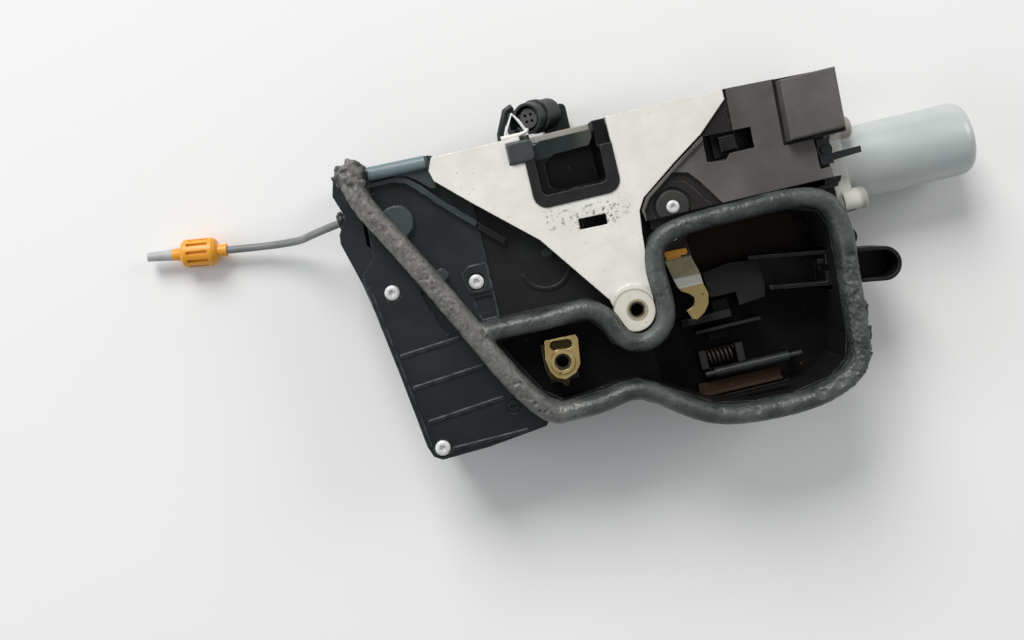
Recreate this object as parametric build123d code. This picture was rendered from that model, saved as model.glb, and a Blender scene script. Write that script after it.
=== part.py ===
from build123d import *
import math
import os

# ---------------------------------------------------------------- sizes (mm)
# Frame: origin on the plate's outer face at the M6 boss, +Z out of the face,
# +Y towards the striker entrance, +X towards the motor.
back = -48.0            # rear plane of the unit
top_edge = 70.0         # plate edge at the striker entrance
plate_thick = 2.5
wall_top = top_edge - plate_thick
thread_drill = 2.5      # radius of the M6 core hole
boss_x = -1.0
boss_r = 7.5
nut_x = -30.1
nut_y = -12.2

mouth_left = -26.9
mouth_right = 4.7
mouth_low = 43.0
mouth_depth = 26.0
liner_side = 3.4
liner_foot = 4.3
mouth_inner_left = mouth_left + liner_side
mouth_inner_right = 0.3
bumper_low = top_edge - 9.5
bumper_high = top_edge - 1.4

claw_x = -18.0
claw_y = 37.5
claw_low = -10.0
claw_high = -4.0
claw_hub_r = 7.6
claw_pin_r = 3.5
pawl_x = 4.0
pawl_y = 35.0
pawl_angle = 228.0      # lifted
pawl_length = 16.0
pawl_half = 2.7
pawl_hub_r = 4.5
pawl_pin_r = 2.4
bearing_gap = 0.05      # radial running clearance

left_face = -8.0        # left cover
right_face = -0.8       # actuator cover
cover_thick = 2.5
panel_face = -9.0       # housing panel between the covers
floor_left = -14.0
floor_right = -30.0
track_top = -4.0        # carries the seal

seal_width = 6.8
seal_height = 7.4
seal_gap = 0.2         # seal to the edges beside it
strip_width = 7.8
strip_base = -6.0
strip_height = 8.8

disc_x = 20.9
disc_y = 33.0
motor_y = 33.0
motor_z = -32.0
motor_r = 14.0
motor_start = 89.0
motor_end = 140.5
worm_r = 4.6
worm_root = 3.2
worm_lead = 3.2
worm_start = 50.0
worm_end = 74.0
wheel_teeth = 26
wheel_x = 62.0
wheel_low = -35.5
wheel_high = -28.5

duct_wall = 1.3
duct_half = 6.4
duct_tilt = -9.0

cord_r = 1.5
coupling_r = 5.5
coupling_z = back + coupling_r


# ---------------------------------------------------------------- helpers
def area(points, corner=0.0):
    shape = Polygon(*points, align=None)
    if corner > 0:
        shape = fillet(shape.vertices(), corner)
    return shape


def prism(shape, low, high):
    return Pos(0, 0, low) * extrude(shape, amount=high - low, dir=(0, 0, 1))


def slab(points, low, high, corner=0.0):
    return prism(area(points, corner), low, high)


def block(x0, x1, y0, y1, z0, z1):
    centre = ((x0 + x1) / 2, (y0 + y1) / 2, (z0 + z1) / 2)
    return Pos(*centre) * Box(x1 - x0, y1 - y0, z1 - z0)


def rod(x, y, radius, low, high):
    return Pos(x, y, (low + high) / 2) * Cylinder(radius, high - low)


def rod_x(y, z, radius, start, end):
    return Pos((start + end) / 2, y, z) * Rot(0, 90, 0) * Cylinder(radius, end - start)


def ribbon(points, width):
    half = width / 2
    shape = None
    for (x0, y0), (x1, y1) in zip(points, points[1:]):
        run = math.hypot(x1 - x0, y1 - y0)
        nx = -(y1 - y0) / run * half
        ny = (x1 - x0) / run * half
        leg = area([(x0 + nx, y0 + ny), (x0 - nx, y0 - ny),
                    (x1 - nx, y1 - ny), (x1 + nx, y1 + ny)])
        shape = leg if shape is None else shape + leg
    for x, y in points[1:-1]:
        shape = shape + Pos(x, y) * Circle(half)
    return shape


def rib(points, width, low, high):
    return prism(ribbon(points, width), low, high)


def bar_between(a, b, radius):
    centre = (Vector(*a) + Vector(*b)) / 2
    axis = Vector(*b) - Vector(*a)
    return Plane(origin=centre, z_dir=axis) * Cylinder(radius, axis.length)


def save(name, shape):
    solids = shape.solids()
    if len(solids) == 1:
        shape = solids[0]
    shape.label = name
    export_step(shape, f"parts/{name}.step")
    box = shape.bounding_box()
    print(f"{name:18s} {len(solids)} solid(s) {shape.volume:9.0f} mm3",
          [round(v, 1) for v in (*box.min, *box.max)])


# ---------------------------------------------------------------- outlines
plate_left = [(-59.4, top_edge), (-61.2, top_edge - 4.5), (-60.2, top_edge - 8.5),
              (-58, top_edge - 10.5), (-49.3, 51.3), (-28.1, 32.3), (-8.7, 5.7), (-8.0, 2.5)]
plate_right = [(6.4, 1.0), (6.6, 5.0), (7.2, 12), (8.0, 26), (9.0, 34.5), (11.5, 38.6),
               (24.8, 48.2), (36.5, 56), (47.6, top_edge - 3.8), (47.6, top_edge)]

loop_line = [(-34.2, -29.8), (-28, -29.8), (-18, -29.2), (-11, -27.9), (-5.4, -28.2), (4.6, -34.1),
             (18.3, -42.6), (34.2, -45.5), (48.8, -45.7), (64.2, -42.7), (72.6, -36.9),
             (75.4, -27), (77.1, -3.6), (77.9, 13.5), (74.4, 22.3), (63, 26.2),
             (43.8, 26.3), (27.1, 25.9), (18.3, 24.7), (12.6, 21.6), (10.3, 16.5), (10.0, 4.5),
             (8.9, -5.6), (4.0, -10.6), (-1.8, -11.5), (-7.4, -8.2), (-11.4, -0.2),
             (-16.4, 3.8), (-30, 4.2), (-42, 4.3), (-58, 4.4)]
strip_line = [(-89.6, 73.2), (-87.4, 60), (-81.2, 48.1), (-71.8, 30.7), (-62.4, 12.4),
              (-53.8, -5), (-46.2, -18.8), (-41.2, -25.4), (-37.4, -28.8), (-34.2, -29.8)]

left_pocket = [(-46.8, 0.6), (-31, 0.6), (-17.5, -0.2), (-14.8, -3.2), (-10.6, -10.7),
               (-4.2, -15.4), (4, -15.4), (4, -29.5), (-5, -24.4), (-12, -24.4),
               (-20.4, -25.6), (-33, -26.2), (-39, -21.5), (-46.6, -8.6), (-50.4, -1.4)]
right_pocket = [(4, -15.4), (7.5, -12.8), (12, -7.5), (13.6, 4.2), (13.9, 14.6),
                (15.8, 19.4), (19.6, 21.2), (26, 22.3), (44, 22.7), (61.5, 22.6), (71.6, 19.4),
                (74.3, 13), (73.5, -3.6), (71.8, -26), (69.4, -34.6), (62.8, -39.4),
                (48.5, -42.1), (34.7, -41.9), (20.2, -39.3), (7, -31.4), (4, -29.5)]
main_edge = [(-48.5, 52.5), (-48.5, 4), (-55, 1), (-51.1, -10.7), (-45.6, -21), (-38, -30),
             (-34.4, -33.3), (-20.4, -32.8), (-6.7, -31.6), (3.1, -37), (17, -45.7),
             (34, -48.7), (49.2, -48.8), (65.6, -45.6), (75.5, -38.8), (78.6, -27.5),
             (80.4, -3.8), (81.2, 13.8), (81.2, 26.5), (12, 26.5), (12, wall_top),
             (-57, wall_top), (-57, top_edge - 9.7)]
left_edge = [(-84.5, top_edge - 3.5), (-88, 52), (-88.5, 40), (-93.8, 34.3), (-93.7, 29),
             (-88.8, -3.9), (-85.1, -31.7), (-83.6, -35.8), (-80.6, -37.6), (-62.9, -36.9),
             (-41, -34.3), (-38, -30), (-45.6, -21), (-51.1, -10.7), (-55, 1), (-48.5, 4),
             (-48.5, 52.5), (-57, top_edge - 9.7), (-57, top_edge - 3.5)]
left_shell_edge = [(-96.6, top_edge + 1.2), (-98.2, 65), (-95.4, 56.8), (-98.9, 50.8), (-99.2, 47.4),
                   (-94.9, 31.7), (-88, -3.9), (-84.3, -31.2), (-82.8, -35.2), (-80, -36.8),
                   (-62.9, -36.1), (-41.6, -33.7), (-38, -30), (-45.6, -21), (-51.1, -10.7),
                   (-55, 1), (-48.5, 4), (-48.5, 52.5), (-57, top_edge - 9.7), (-57, wall_top),
                   (-59.6, top_edge + 1.5)]
actuator_edge = [(12, 26.5), (81.2, 26.5), (83, 30), (83, 45.3), (88.2, 45.3),
                 (88.6, top_edge - 1.6), (47.9, top_edge - 0.1), (47.7, wall_top), (12, wall_top)]
cover_edge = [(12.2, 38.4), (9.7, 34.2), (10.4, 30.2), (79.6, 30.2), (79.4, 33.9), (75.6, 33.9),
              (75.6, 45.6), (87.2, 45.6), (87.6, top_edge - 1.6), (48.2, top_edge - 0.1),
              (48, top_edge - 4.1), (37, 55.4), (25.2, 47.6)]
chamber_edge = [(-42.6, wall_top), (-42.6, 48.3), (-26.5, 33.8), (-15, 18.4), (-3.2, 18.4),
                (0.6, 23.4), (7.2, 23.8), (9.2, 30), (9.2, 40.6), (-6.2, 41.3), (-6.2, 43.2),
                (-26.9, 43.2), (-26.9, wall_top)]
claw_edge = [(-10.4, 37.5), (-9.2, 44), (-6.9, 45.4), (-6.6, 46.6), (-7.6, 47.3), (-16, 47.5),
             (-20.2, 50.4), (-20.2, 58.6), (-16, top_edge - 8.8), (-3.0, top_edge - 8.4),
             (-1.4, top_edge - 6), (-1.0, top_edge - 2.9), (-20, top_edge - 2.9),
             (-24.6, top_edge - 5), (-26.4, top_edge - 10), (-25.6, 37.5)]


# ---------------------------------------------------------------- plate group
def plate_outline():
    left = [Line(a, b) for a, b in zip(plate_left, plate_left[1:])]
    right = [Line(a, b) for a, b in zip(plate_right, plate_right[1:])]
    close = [Line(plate_left[-1], plate_right[0]), Line(plate_right[-1], plate_left[0])]
    shape = make_face(left + right + close)
    return shape + Pos(boss_x, 0) * Circle(boss_r)


def mouth_area(inset_left, inset_right, inset_low, height, corner):
    x0 = mouth_left + inset_left
    x1 = mouth_right - inset_right
    y0 = mouth_low + inset_low
    shape = area([(x0, y0), (x1, y0), (x1, height), (x0, height)])
    low_corners = shape.vertices().sort_by(Axis.Y)[:2]
    return fillet(low_corners, corner)


def latch_plate():
    body = prism(plate_outline(), -plate_thick, 0)
    body = body + block(-57, 47.6, wall_top, top_edge, -22, -plate_thick)
    coin = Pos(boss_x, 0) * Circle(boss_r) + Pos(-0.6, 2.2) * Circle(7.3)
    body = body + prism(coin & plate_outline(), -0.2, 0.6)
    body = body - prism(mouth_area(0, 0, 0, top_edge + 5, 5), -17, 2)
    body = body - block(-33.5, mouth_left, top_edge - 10, top_edge + 5, -11.6, -3)
    body = body - block(-32.4, -20, bumper_low, bumper_high, -4, 2)
    slot = Pos(-8.1, 34.4) * Rot(0, 0, -1.5) * RectangleRounded(10.2, 3.9, 0.5)
    body = body - prism(slot, -4, 1)
    body = body - rod(0, 0, thread_drill, -4, 2)
    body = body - Pos(0, 0, 0.3) * Cone(thread_drill, 3.1, 0.6)
    return body - loop_room(seal_gap)


def thread_collar():
    ring = rod(0, 0, 5.4, -12, -plate_thick) - rod(0, 0, thread_drill, -13, 0)
    return ring


def mouth_liner():
    rim = prism(mouth_area(0, 0, 0, wall_top, 5), -mouth_depth, 0.5)
    rim = rim + prism(mouth_area(0, 0, 0, top_edge, 5), -17, 0.5)
    top = mouth_area(liner_side, mouth_right - mouth_inner_right, liner_foot, top_edge + 10, 2.2)
    deep = mouth_area(liner_side + 1, mouth_right - mouth_inner_right + 1,
                      liner_foot + 1, top_edge + 10, 2.2)
    hollow = loft([Pos(0, 0, 0.6) * top, Pos(0, 0, -mouth_depth + 1.6) * deep])
    body = rim - hollow
    body = body - block(-27, mouth_inner_left + 2, 42, top_edge + 5, -11.6, -3)
    body = body - block(-27, -5.8, 42, 50, -11.6, -3)
    body = body - block(-27, -22.9, bumper_low, bumper_high, -plate_thick, 1)
    body = body - block(-0.5, 5, top_edge - 9.4, top_edge + 5, -6, 2)
    return body


def striker_bumper():
    pad = slab([(-32.4, bumper_low), (-23, bumper_low), (-23, bumper_high), (-32.4, bumper_high)],
               -plate_thick, 1.3, 1.6)
    return fillet(pad.faces().sort_by(Axis.Z)[-1].edges(), 1.0)


# ---------------------------------------------------------------- claw and pawl
def claw():
    body = slab(claw_edge, claw_low, claw_high, 0.6)
    body = body + rod(claw_x, claw_y, claw_hub_r, claw_low, claw_high)
    lobe = []
    for angle, radius in ((-54.5, 6), (-54.5, 14.3), (-63, 14.3), (-72, 14), (-80, 13), (-100, 6)):
        turn = math.radians(angle)
        lobe.append((claw_x + radius * math.cos(turn), claw_y + radius * math.sin(turn)))
    body = body + slab(lobe, claw_low, claw_high)
    hub = rod(claw_x, claw_y, 5.6, -11.2, -3)
    return body + hub - rod(claw_x, claw_y, claw_pin_r + bearing_gap, -14, 0)


def claw_pin():
    pin = rod(claw_x, claw_y, claw_pin_r, -18, -plate_thick)
    return pin


def claw_spring():
    coil = Pos(claw_x, claw_y, -15.6) * Helix(pitch=1.5, height=3.2, radius=4.9)
    wire = Plane(origin=coil @ 0, z_dir=coil % 0) * Circle(0.55)
    return sweep(wire, path=coil)


def pawl():
    arm = area([(0, -pawl_half), (pawl_length, -pawl_half),
                (pawl_length, pawl_half), (0, pawl_half)])
    tail = Rot(0, 0, 42) * area([(0, -1.9), (9.6, -1.6), (9.6, 1.6), (0, 1.9)])
    body = prism(arm + tail + Circle(pawl_hub_r), -9.6, -4.4)
    body = body + prism(Circle(3.6), -11.2, -3) - rod(0, 0, pawl_pin_r + bearing_gap, -14, 0)
    return Pos(pawl_x, pawl_y) * Rot(0, 0, pawl_angle) * body


def pawl_pin():
    return rod(pawl_x, pawl_y, pawl_pin_r, -18, -plate_thick)


# ---------------------------------------------------------------- housings
def chamber_side():
    shape = area([(-60, -0.5), (-47, -0.5), (-30, -10), (4, -22), (20, 0), (29.5, 15),
                  (29.5, 80), (-60, 80)])
    return area(main_edge) & shape


def wet_area():
    return area(left_pocket) + area(right_pocket)


def housing_shell(region, low):
    body = prism(region - wet_area(), low, panel_face)
    track = (ribbon(loop_line, seal_width + 0.6) & region) - wet_area()
    return body + prism(track, panel_face - 1, track_top)


def housing_base():
    body = slab(main_edge, back, floor_right)
    body = body + prism(chamber_side() - wet_area(), floor_right, -mouth_depth)
    body = body + slab(left_pocket, floor_right - 1, floor_left)
    return body + cavity_details()


def main_housing():
    region = chamber_side()
    body = housing_shell(region, -mouth_depth)
    under_plate = (offset(plate_outline(), amount=-0.6) & region) - wet_area()
    body = body + prism(under_plate, panel_face, -plate_thick)
    body = body + prism(ribbon([(-49.5, 43.3), (-40.4, 34.8)], 2) & region, panel_face - 1, -6)
    body = body - slab(chamber_edge, -11.6, 0) - block(-26.9, -5.8, 42, 50, -11.6, 0)
    body = body - rod(claw_x, claw_y, 7, -16.2, -11)
    body = body + rod(claw_x, claw_y, 4.3, -16.2, -11.6)
    body = body - rod(claw_x, claw_y, claw_pin_r, -18, 0)
    body = body - rod(pawl_x, pawl_y, pawl_pin_r, -18, 0)
    body = body - prism(mouth_area(0, 0, 0, top_edge, 5), -mouth_depth - 1, 0)
    body = body - rod(0, 0, 5.4, -12, 0) - rod(0, 0, 3.4, -24, -11)
    body = body + panel_details()
    body = body - rod(19.8, 22.6, 6.6, -14.4, -9.4)
    body = body - slab([(12.9, 12), (28.5, 12), (28.5, 24), (14, 24)], -14.4, -9.4)
    body = body - loop_room(seal_gap) - strip_room(seal_gap)
    return body - rod(19.8, 22.6, 2, -20, 0)


def cavity_wall():
    body = housing_shell(area(main_edge) - chamber_side(), floor_right)
    body = body + rod(82.4, 7.2, 3.8, floor_right, -12)
    return body - block(70, 82, -10.8, 5.6, floor_right - 1, -13.2)


def cavity_details():
    z = floor_right
    shape = slab([(28.9, 5.9), (39.3, 7.4), (50.4, 6.1), (50.9, -4), (49.8, -8),
                  (39.8, -9), (39.6, -3.8), (29.8, -3.8)], z - 1, -21)
    shape = shape + slab([(17, -9.6), (36, -9.6), (36, -12.4), (17, -12.4)], z - 1, -21)
    shape = shape + slab([(30, -5.4), (36, -5.4), (36, -9.8), (30, -9.8)], z - 1, -23)
    shape = shape + block(21.5, 46.2, -15.9, -14.9, z - 1, -20)
    shape = shape + block(26.3, 33.3, -19.7, -16.0, z - 1, -24)
    shape = shape + block(18, 51.6, -41.6, -40.4, z - 1, -14)
    shape = shape + block(18.1, 49.4, -39.2, -34.8, z - 1, -23)
    shape = shape + block(18.1, 49.4, -39.6, -38.6, z - 1, -21)
    shape = shape + block(20.6, 23.2, -29.4, -22.6, z - 1, -20)
    shape = shape + block(34.6, 37.2, -29.4, -22.6, z - 1, -20)
    for x in (23.9, 54.5):
        shape = shape + block(x - 1, x + 1, -33.4, -29.8, z - 1, -20.5)
    shape = shape - rod_x(-31.6, -20.5, 2.0, 20, 60)
    return shape & slab(right_pocket, z - 1, -6)


def panel_details():
    ring = rod(-28, 23.4, 9.6, panel_face - 1, panel_face + 1.0)
    ring = ring - rod(-28, 23.4, 8.6, panel_face - 2, panel_face + 2)
    ring = ring & block(-40, -16.5, 11, 21.5, -12, -6)
    ear = rod(-26.4, 26.8, 1.9, panel_face - 1, panel_face + 1.4)
    return ring + ear


def left_housing():
    body = slab(left_shell_edge, back, left_face - cover_thick)
    pocket = [(-89, 60), (-66, 61), (-60, 47), (-66, 31), (-82, 33), (-90, 45)]
    body = body - slab(pocket, -27, -10)
    body = body - gland_solid(0) - bar_between(gland_point(-6), gland_point(1), cord_r)
    body = body - rod(-77.2, 50.3, 3.0, -34, -20)
    body = body - rod(-51, -24.4, 1.2, -20, -8)
    for x, y in screw_spots:
        body = body - rod(x, y, 1.6, -24, -8)
    return body


screw_spots = [(-84.7, 25.8), (-53.9, 22.7), (-79.7, -33.4)]


def left_cover():
    base = left_face - cover_thick
    body = slab(left_edge, base, left_face)
    body = body + ledge()
    lip = [(-84.2, top_edge - 4.1), (-75.6, top_edge - 4.0), (-70.6, top_edge - 5.4),
           (-66.6, top_edge - 8.9), (-59.9, 53.7), (-49, 43.2)]
    body = body + prism(ribbon(lip, 2) & area(left_edge), base, left_face + 2.4)
    track = ribbon(strip_line[1:], strip_width - 1.2) & area(left_edge)
    body = body + prism(track, base, strip_base)
    branch = ribbon([(-58, 4.4), (-48.6, 4.3)], seal_width) & area(left_edge)
    body = body + prism(branch, base, track_top)
    disc = rod(-77.2, 50.3, 6.2, base, left_face + 2.6)
    body = body + fillet(disc.edges().sort_by(Axis.Z)[-1], 0.6)
    body = body + rod(-65.6, 28.0, 2.2, base, left_face + 1.8)
    s2_pad = area([(-58.6, 26.6), (-55.6, 28.8), (-49, 28.8), (-49, 18.6), (-57, 18.6)], 1)
    body = body + prism(s2_pad, base, left_face + 0.9)
    for run in ([(-87, 2.4), (-64.6, 4.2)], [(-85, -9.9), (-58, -7.6)],
                [(-82.4, -23.2), (-54, -20.6)], [(-76, -34.6), (-48, -34.2)]):
        body = body + rib(run, 1.2, base, left_face + 0.7)
    body = body + rib([(-73.2, 22.4), (-68.3, 6.6), (-66.4, 7), (-67, 12)], 1.3, base,
                      left_face + 0.9)
    body = body - slab([(-74.8, 23.5), (-71.5, 26), (-66, 12), (-64.8, 7.6), (-66.8, 6.2), (-69.2, 6.8),
                        (-71.4, 13)], left_face - 1.2, left_face + 3)
    body = body - slab([(-56.6, 17), (-49, 17), (-49, 8.6), (-55, 8.6)], left_face - 1.0,
                       left_face + 3, 0.8)
    rim = [(-92.7, 29.3), (-87.9, -3.9), (-84.1, -31.9)]
    body = body + rib(rim, 1.4, base, left_face + 0.8)
    for x, y in screw_spots:
        body = body - rod(x, y, 3.3, left_face - 0.8, left_face + 3) - rod(x, y, 1.6, -14, 0)
    body = body - rod(-51, -24.4, 2.6, left_face - 0.8, left_face + 3)
    body = body - rod(-51, -24.4, 1.2, -14, 0)
    return body - strip_room(seal_gap)


def ledge():
    base = left_face - cover_thick
    foot = [(-83.6, top_edge - 2.1), (-83, top_edge + 2), (-60.2, top_edge + 1.4), (-60.2, 59.2),
            (-62.3, 59.6), (-66.2, top_edge - 6.6), (-69.4, top_edge - 4.3), (-76.7, top_edge - 2.8)]
    shape = slab(foot, base, -4.8)
    roll = bar_between((-83, top_edge - 0.4, -4.6), (-61.9, top_edge - 0.9, -4.6), 2.6)
    return shape + roll


def screw(x, y, head_r, face):
    head = rod(x, y, head_r, face, face + 1.6)
    head = fillet(head.edges().filter_by(GeomType.CIRCLE).sort_by(Axis.Z)[-1], 0.7)
    socket = Pos(x, y, face + 1.1) * extrude(RegularPolygon(1.35, 6), amount=2)
    return head + rod(x, y, 1.55, face - 10, face + 0.4) - socket


def cover_screws():
    screws = [screw(x, y, 2.85, left_face - 0.8) for x, y in screw_spots]
    return Compound(children=[s.solid() for s in screws])


def corner_screw():
    head = rod(-51, -24.4, 2.2, left_face - 0.8, left_face + 0.4)
    head = head - Pos(-51, -24.4, left_face) * Box(3, 0.6, 1)
    return head + rod(-51, -24.4, 1.15, left_face - 10, left_face - 0.4)


def fixing_nut():
    foot = area([(-34.8, -3.4), (-23.5, -3.7), (-22.9, -5.4), (-24.2, -14.4), (-26.5, -17.2),
                 (-30.5, -18.6), (-33.5, -17.4), (-35.3, -14.6), (-36, -10)], 0.5)
    body = prism(foot, -4.6, -2.4) + rod(nut_x, nut_y, 4.4, -12, -1.6)
    kidney = Pos(-29.4, -6.1) * Rot(0, 0, -4) * SlotOverall(8.2, 3.4)
    body = body - prism(kidney - Pos(nut_x, nut_y) * Circle(4.6), -6, 0)
    body = body - rod(nut_x, nut_y, thread_drill, -13, 0)
    return body - Pos(nut_x, nut_y, -1.85) * Cone(thread_drill, 3.0, 0.5)


def nut_plate():
    foot = area([(-36.6, -5), (-36.8, -14), (-35.8, -17.6), (-32, -19.6), (-30.8, -21.4),
                 (-30.0, -21.4), (-28.6, -18.6), (-24.8, -16), (-24.6, -5)])
    return prism(foot, -6.6, -4.6) - rod(nut_x, nut_y, 4.4, -8, 0)


def nut_seat():
    return block(-36, -25.4, -19.4, -5.8, floor_left, -6.6) - rod(nut_x, nut_y, 4.4, -12, 0)


# ---------------------------------------------------------------- seal
def bead(points, width, height, base, tangents=None):
    path = Pos(0, 0, base) * (Spline(*points, tangents=tangents) if tangents else Spline(*points))
    half = width / 2
    crown = min(half, height * 0.5)
    plane = Plane(origin=path @ 0, x_dir=Vector(0, 0, 1).cross(path % 0), z_dir=path % 0)
    low = -half
    wall = height - crown
    outline = [Line((low, 0), (half, 0)), Line((half, 0), (half, wall)),
               EllipticalCenterArc((0, wall), half, crown, start_angle=0, arc_size=180),
               Line((low, wall), (low, 0))]
    section = plane * make_face(outline)
    return sweep(section, path=path)


def loop_room(gap):
    return bead(loop_line, seal_width + gap, seal_height + gap, track_top)


def strip_room(gap, rise=0):
    body = bead(strip_line, strip_width + gap, strip_height + gap + rise, strip_base)
    return body - block(loop_line[0][0], 0, -40, -20, strip_base - 1, 6)


def seal_loop():
    return loop_room(0) - strip_room(seal_gap, 2)


def seal_strip():
    return strip_room(0)


# ---------------------------------------------------------------- right side
def actuator_housing():
    body = slab(actuator_edge, back, -2.5)
    body = body - rod(wheel_x, motor_y + 17.2, 15.2, -38, 0)
    body = body - block(47, 77, motor_y - 5.2, motor_y + 5.2, -38, -2)
    body = body - rod_x(motor_y, motor_z, 2.7, 30, 90)
    body = body - block(36.2, 55.4, 45.4, 56, -12.4, 0)
    body = body - block(75.6, 90, 33.9, 45.3, -14, 0)
    body = body - slab([(12, 26.5), (27.5, 26.5), (27.5, 31), (12, 31)], -14.4, -9.4)
    body = body - rod(79.4, 40.4, 1.5, -22, -10)
    body = body - rod(wheel_x, motor_y + 17.2, 2.5, -44, -30)
    body = body - rod(disc_x, disc_y, 1.6, -12, 0)
    body = body - rod(pawl_x, pawl_y, 6.2, -12, 0)
    body = body - block(10, 82, 26, 30.1, track_top, 0)
    body = body - block(83, 90, 45, 51, back - 1, -12.6)
    body = body - block(79.4, 84, 30.1, 34.2, -16.8, 0)
    return body


def actuator_cover():
    sunk = right_face - 0.5
    deep = right_face - 1.3
    body = slab(cover_edge, -2.5, right_face)
    band = ribbon([(23.6, 43.4), (28.2, 42.2), (31.2, 38.6), (33.6, 35), (37.4, 29.4)], 3.2)
    near_disc = area([(9.7, 34.2), (10.4, 30), (36, 30), (32.4, 35.4), (29.6, 39.8), (27.4, 41.6),
                      (24.6, 42.6), (23.2, 45.8), (12.2, 38.4)])
    corner = area([(48.3, top_edge), (47.9, 54.6), (36.6, 55), (36.6, 56.6), (48, top_edge - 2)])
    body = body - prism(near_disc, sunk, 2) - prism(corner, sunk, 2) - prism(band, deep, 2)
    body = body - rod(disc_x, disc_y, 7.2, deep, 2)
    wall = ribbon([(9.9, 30), (10.1, 34.4), (12.9, 38.4), (23.8, 46.2), (36.8, 54.6)], 1.5)
    body = body + prism(wall & area(cover_edge), -2.2, right_face + 1.2)
    window = area([(36.8, 55), (54.6, 54.5), (54.4, 46.9), (45.2, 46.9), (43.4, 44.7), (36.6, 45.6)])
    body = body - prism(window, -4, 2)
    body = body - rib([(48.4, top_edge - 0.4), (47.9, 54.8)], 0.8, deep, 2)
    gap = offset(cap_area(), amount=1.2, kind=Kind.INTERSECTION) - cap_area()
    body = body - prism(gap & area(cover_edge), deep, 2)
    return body - rod(disc_x, disc_y, 1.6, -4, 2)


def cap_area():
    return area([(66.0, 46.2), (86.0, 46.6), (87.0, top_edge - 1.8), (67, top_edge - 2)])


def rivet_disc():
    disc = rod(disc_x, disc_y, 6.0, right_face - 0.9, right_face + 0.9)
    disc = chamfer(disc.edges().sort_by(Axis.Z)[-1], 0.5)
    return disc - rod(disc_x, disc_y, 2.5, -4, 2) - block(14, 28, 26, 30.2, -4, 2)


def disc_rivet():
    body = rod(disc_x, disc_y, 2.4, right_face - 0.9, right_face + 1.5)
    body = body + rod(disc_x, disc_y, 1.55, -11, right_face)
    return body - rod(disc_x, disc_y, 0.9, right_face + 0.6, right_face + 2)


def housing_cap():
    body = prism(cap_area(), right_face, 6)
    body = fillet(body.faces().sort_by(Axis.Z)[-1].edges(), 0.8)
    return body


def motor_carrier():
    shape = Pos(0, motor_y, motor_z + 2) * Box(6, 34, 30)
    plate = Pos(86, 0, 0) * shape
    plate = fillet(plate.edges().filter_by(Axis.X), 3)
    collar = rod_x(motor_y, motor_z, 11, 83, 89) - rod_x(motor_y, motor_z, 2.9, 80, 92)
    flange = block(81.4, 83, 18, 26.3, -44, -16) + block(79.6, 84, 30.4, 33.9, -16.6, -15.2)
    return plate + collar + flange - rod_x(motor_y, motor_z, 2.9, 80, 92)


def carrier_pegs():
    pegs = []
    for y in (20.0, 46.8):
        peg = rod_x(y, -17.2, 4.2, 85, 94)
        peg = chamfer(peg.edges().sort_by(Axis.X)[-1], 1.0)
        pegs.append((peg - Pos(86, motor_y, motor_z + 2) * Box(6, 34, 30)).solid())
    return Compound(children=pegs)


def motor_can():
    body = rod_x(motor_y, motor_z, motor_r, motor_start, motor_end)
    body = fillet(body.edges().sort_by(Axis.X)[-1], 4.4)
    body = body + rod_x(motor_y, motor_z, 4.5, motor_end - 1, motor_end + 1.2)
    for x in (motor_start + 5, motor_end - 14):
        groove = rod_x(motor_y, motor_z, motor_r + 1, x, x + 0.5)
        body = body - (groove - rod_x(motor_y, motor_z, motor_r - 0.15, x, x + 0.5))
    bore = rod_x(motor_y, motor_z, 4.2, motor_start - 1, 116)
    return body - bore


def motor_rotor():
    shaft = rod_x(0, 0, 1.9, 44, 114)
    core = rod_x(0, 0, worm_root, worm_start, worm_end)
    turns = (worm_end - worm_start - 3) / worm_lead
    path = Helix(pitch=worm_lead, height=turns * worm_lead, radius=worm_root - 0.2)
    start = path @ 0
    tooth = Plane(origin=start, x_dir=(1, 0, 0), z_dir=path % 0) * make_face(
        Polyline((0, -0.85), (worm_r - worm_root + 0.2, -0.4), (worm_r - worm_root + 0.2, 0.4),
                 (0, 0.85), close=True))
    thread = sweep(tooth, path=path, is_frenet=True)
    thread = Pos(worm_start + 1.5, 0, 0) * Rot(0, 90, 0) * thread
    bearings = rod_x(0, 0, 2.65, 45, 48)
    return Pos(0, motor_y, motor_z) * (shaft + core + thread + bearings)


def drive_wheel():
    pitch_r = worm_lead * wheel_teeth / (2 * math.pi)
    root_r = pitch_r - 1.3
    tip_r = pitch_r + 0.6
    thread_x = worm_start + 1.5 + worm_lead * 3.25
    wheel_phase = (thread_x - wheel_x + worm_lead / 2) / pitch_r
    hub = Circle(root_r)
    step = 2 * math.pi / wheel_teeth
    shape = hub
    for i in range(wheel_teeth):
        mid = -math.pi / 2 + i * step + wheel_phase
        pts = []
        for radius, half in ((root_r - 0.3, 0.30), (pitch_r, 0.20), (tip_r, 0.11),
                             (tip_r, -0.11), (pitch_r, -0.20), (root_r - 0.3, -0.30)):
            angle = mid + half * step
            pts.append((radius * math.cos(angle), radius * math.sin(angle)))
        shape = shape + area(pts)
    body = prism(shape, wheel_low + 2, wheel_high - 2)
    body = body - (prism(Circle(root_r - 2.2) - Circle(5), -31, -26))
    body = body + prism(Circle(4.4), wheel_low, wheel_high)
    body = body + rod(0, 7.6, 1.6, -33, -26)
    body = body - prism(Circle(2.5 + bearing_gap), -40, -20)
    return Pos(wheel_x, motor_y + 17.2) * body


def wheel_pin():
    return rod(wheel_x, motor_y + 17.2, 2.5, -44, -27)


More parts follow.
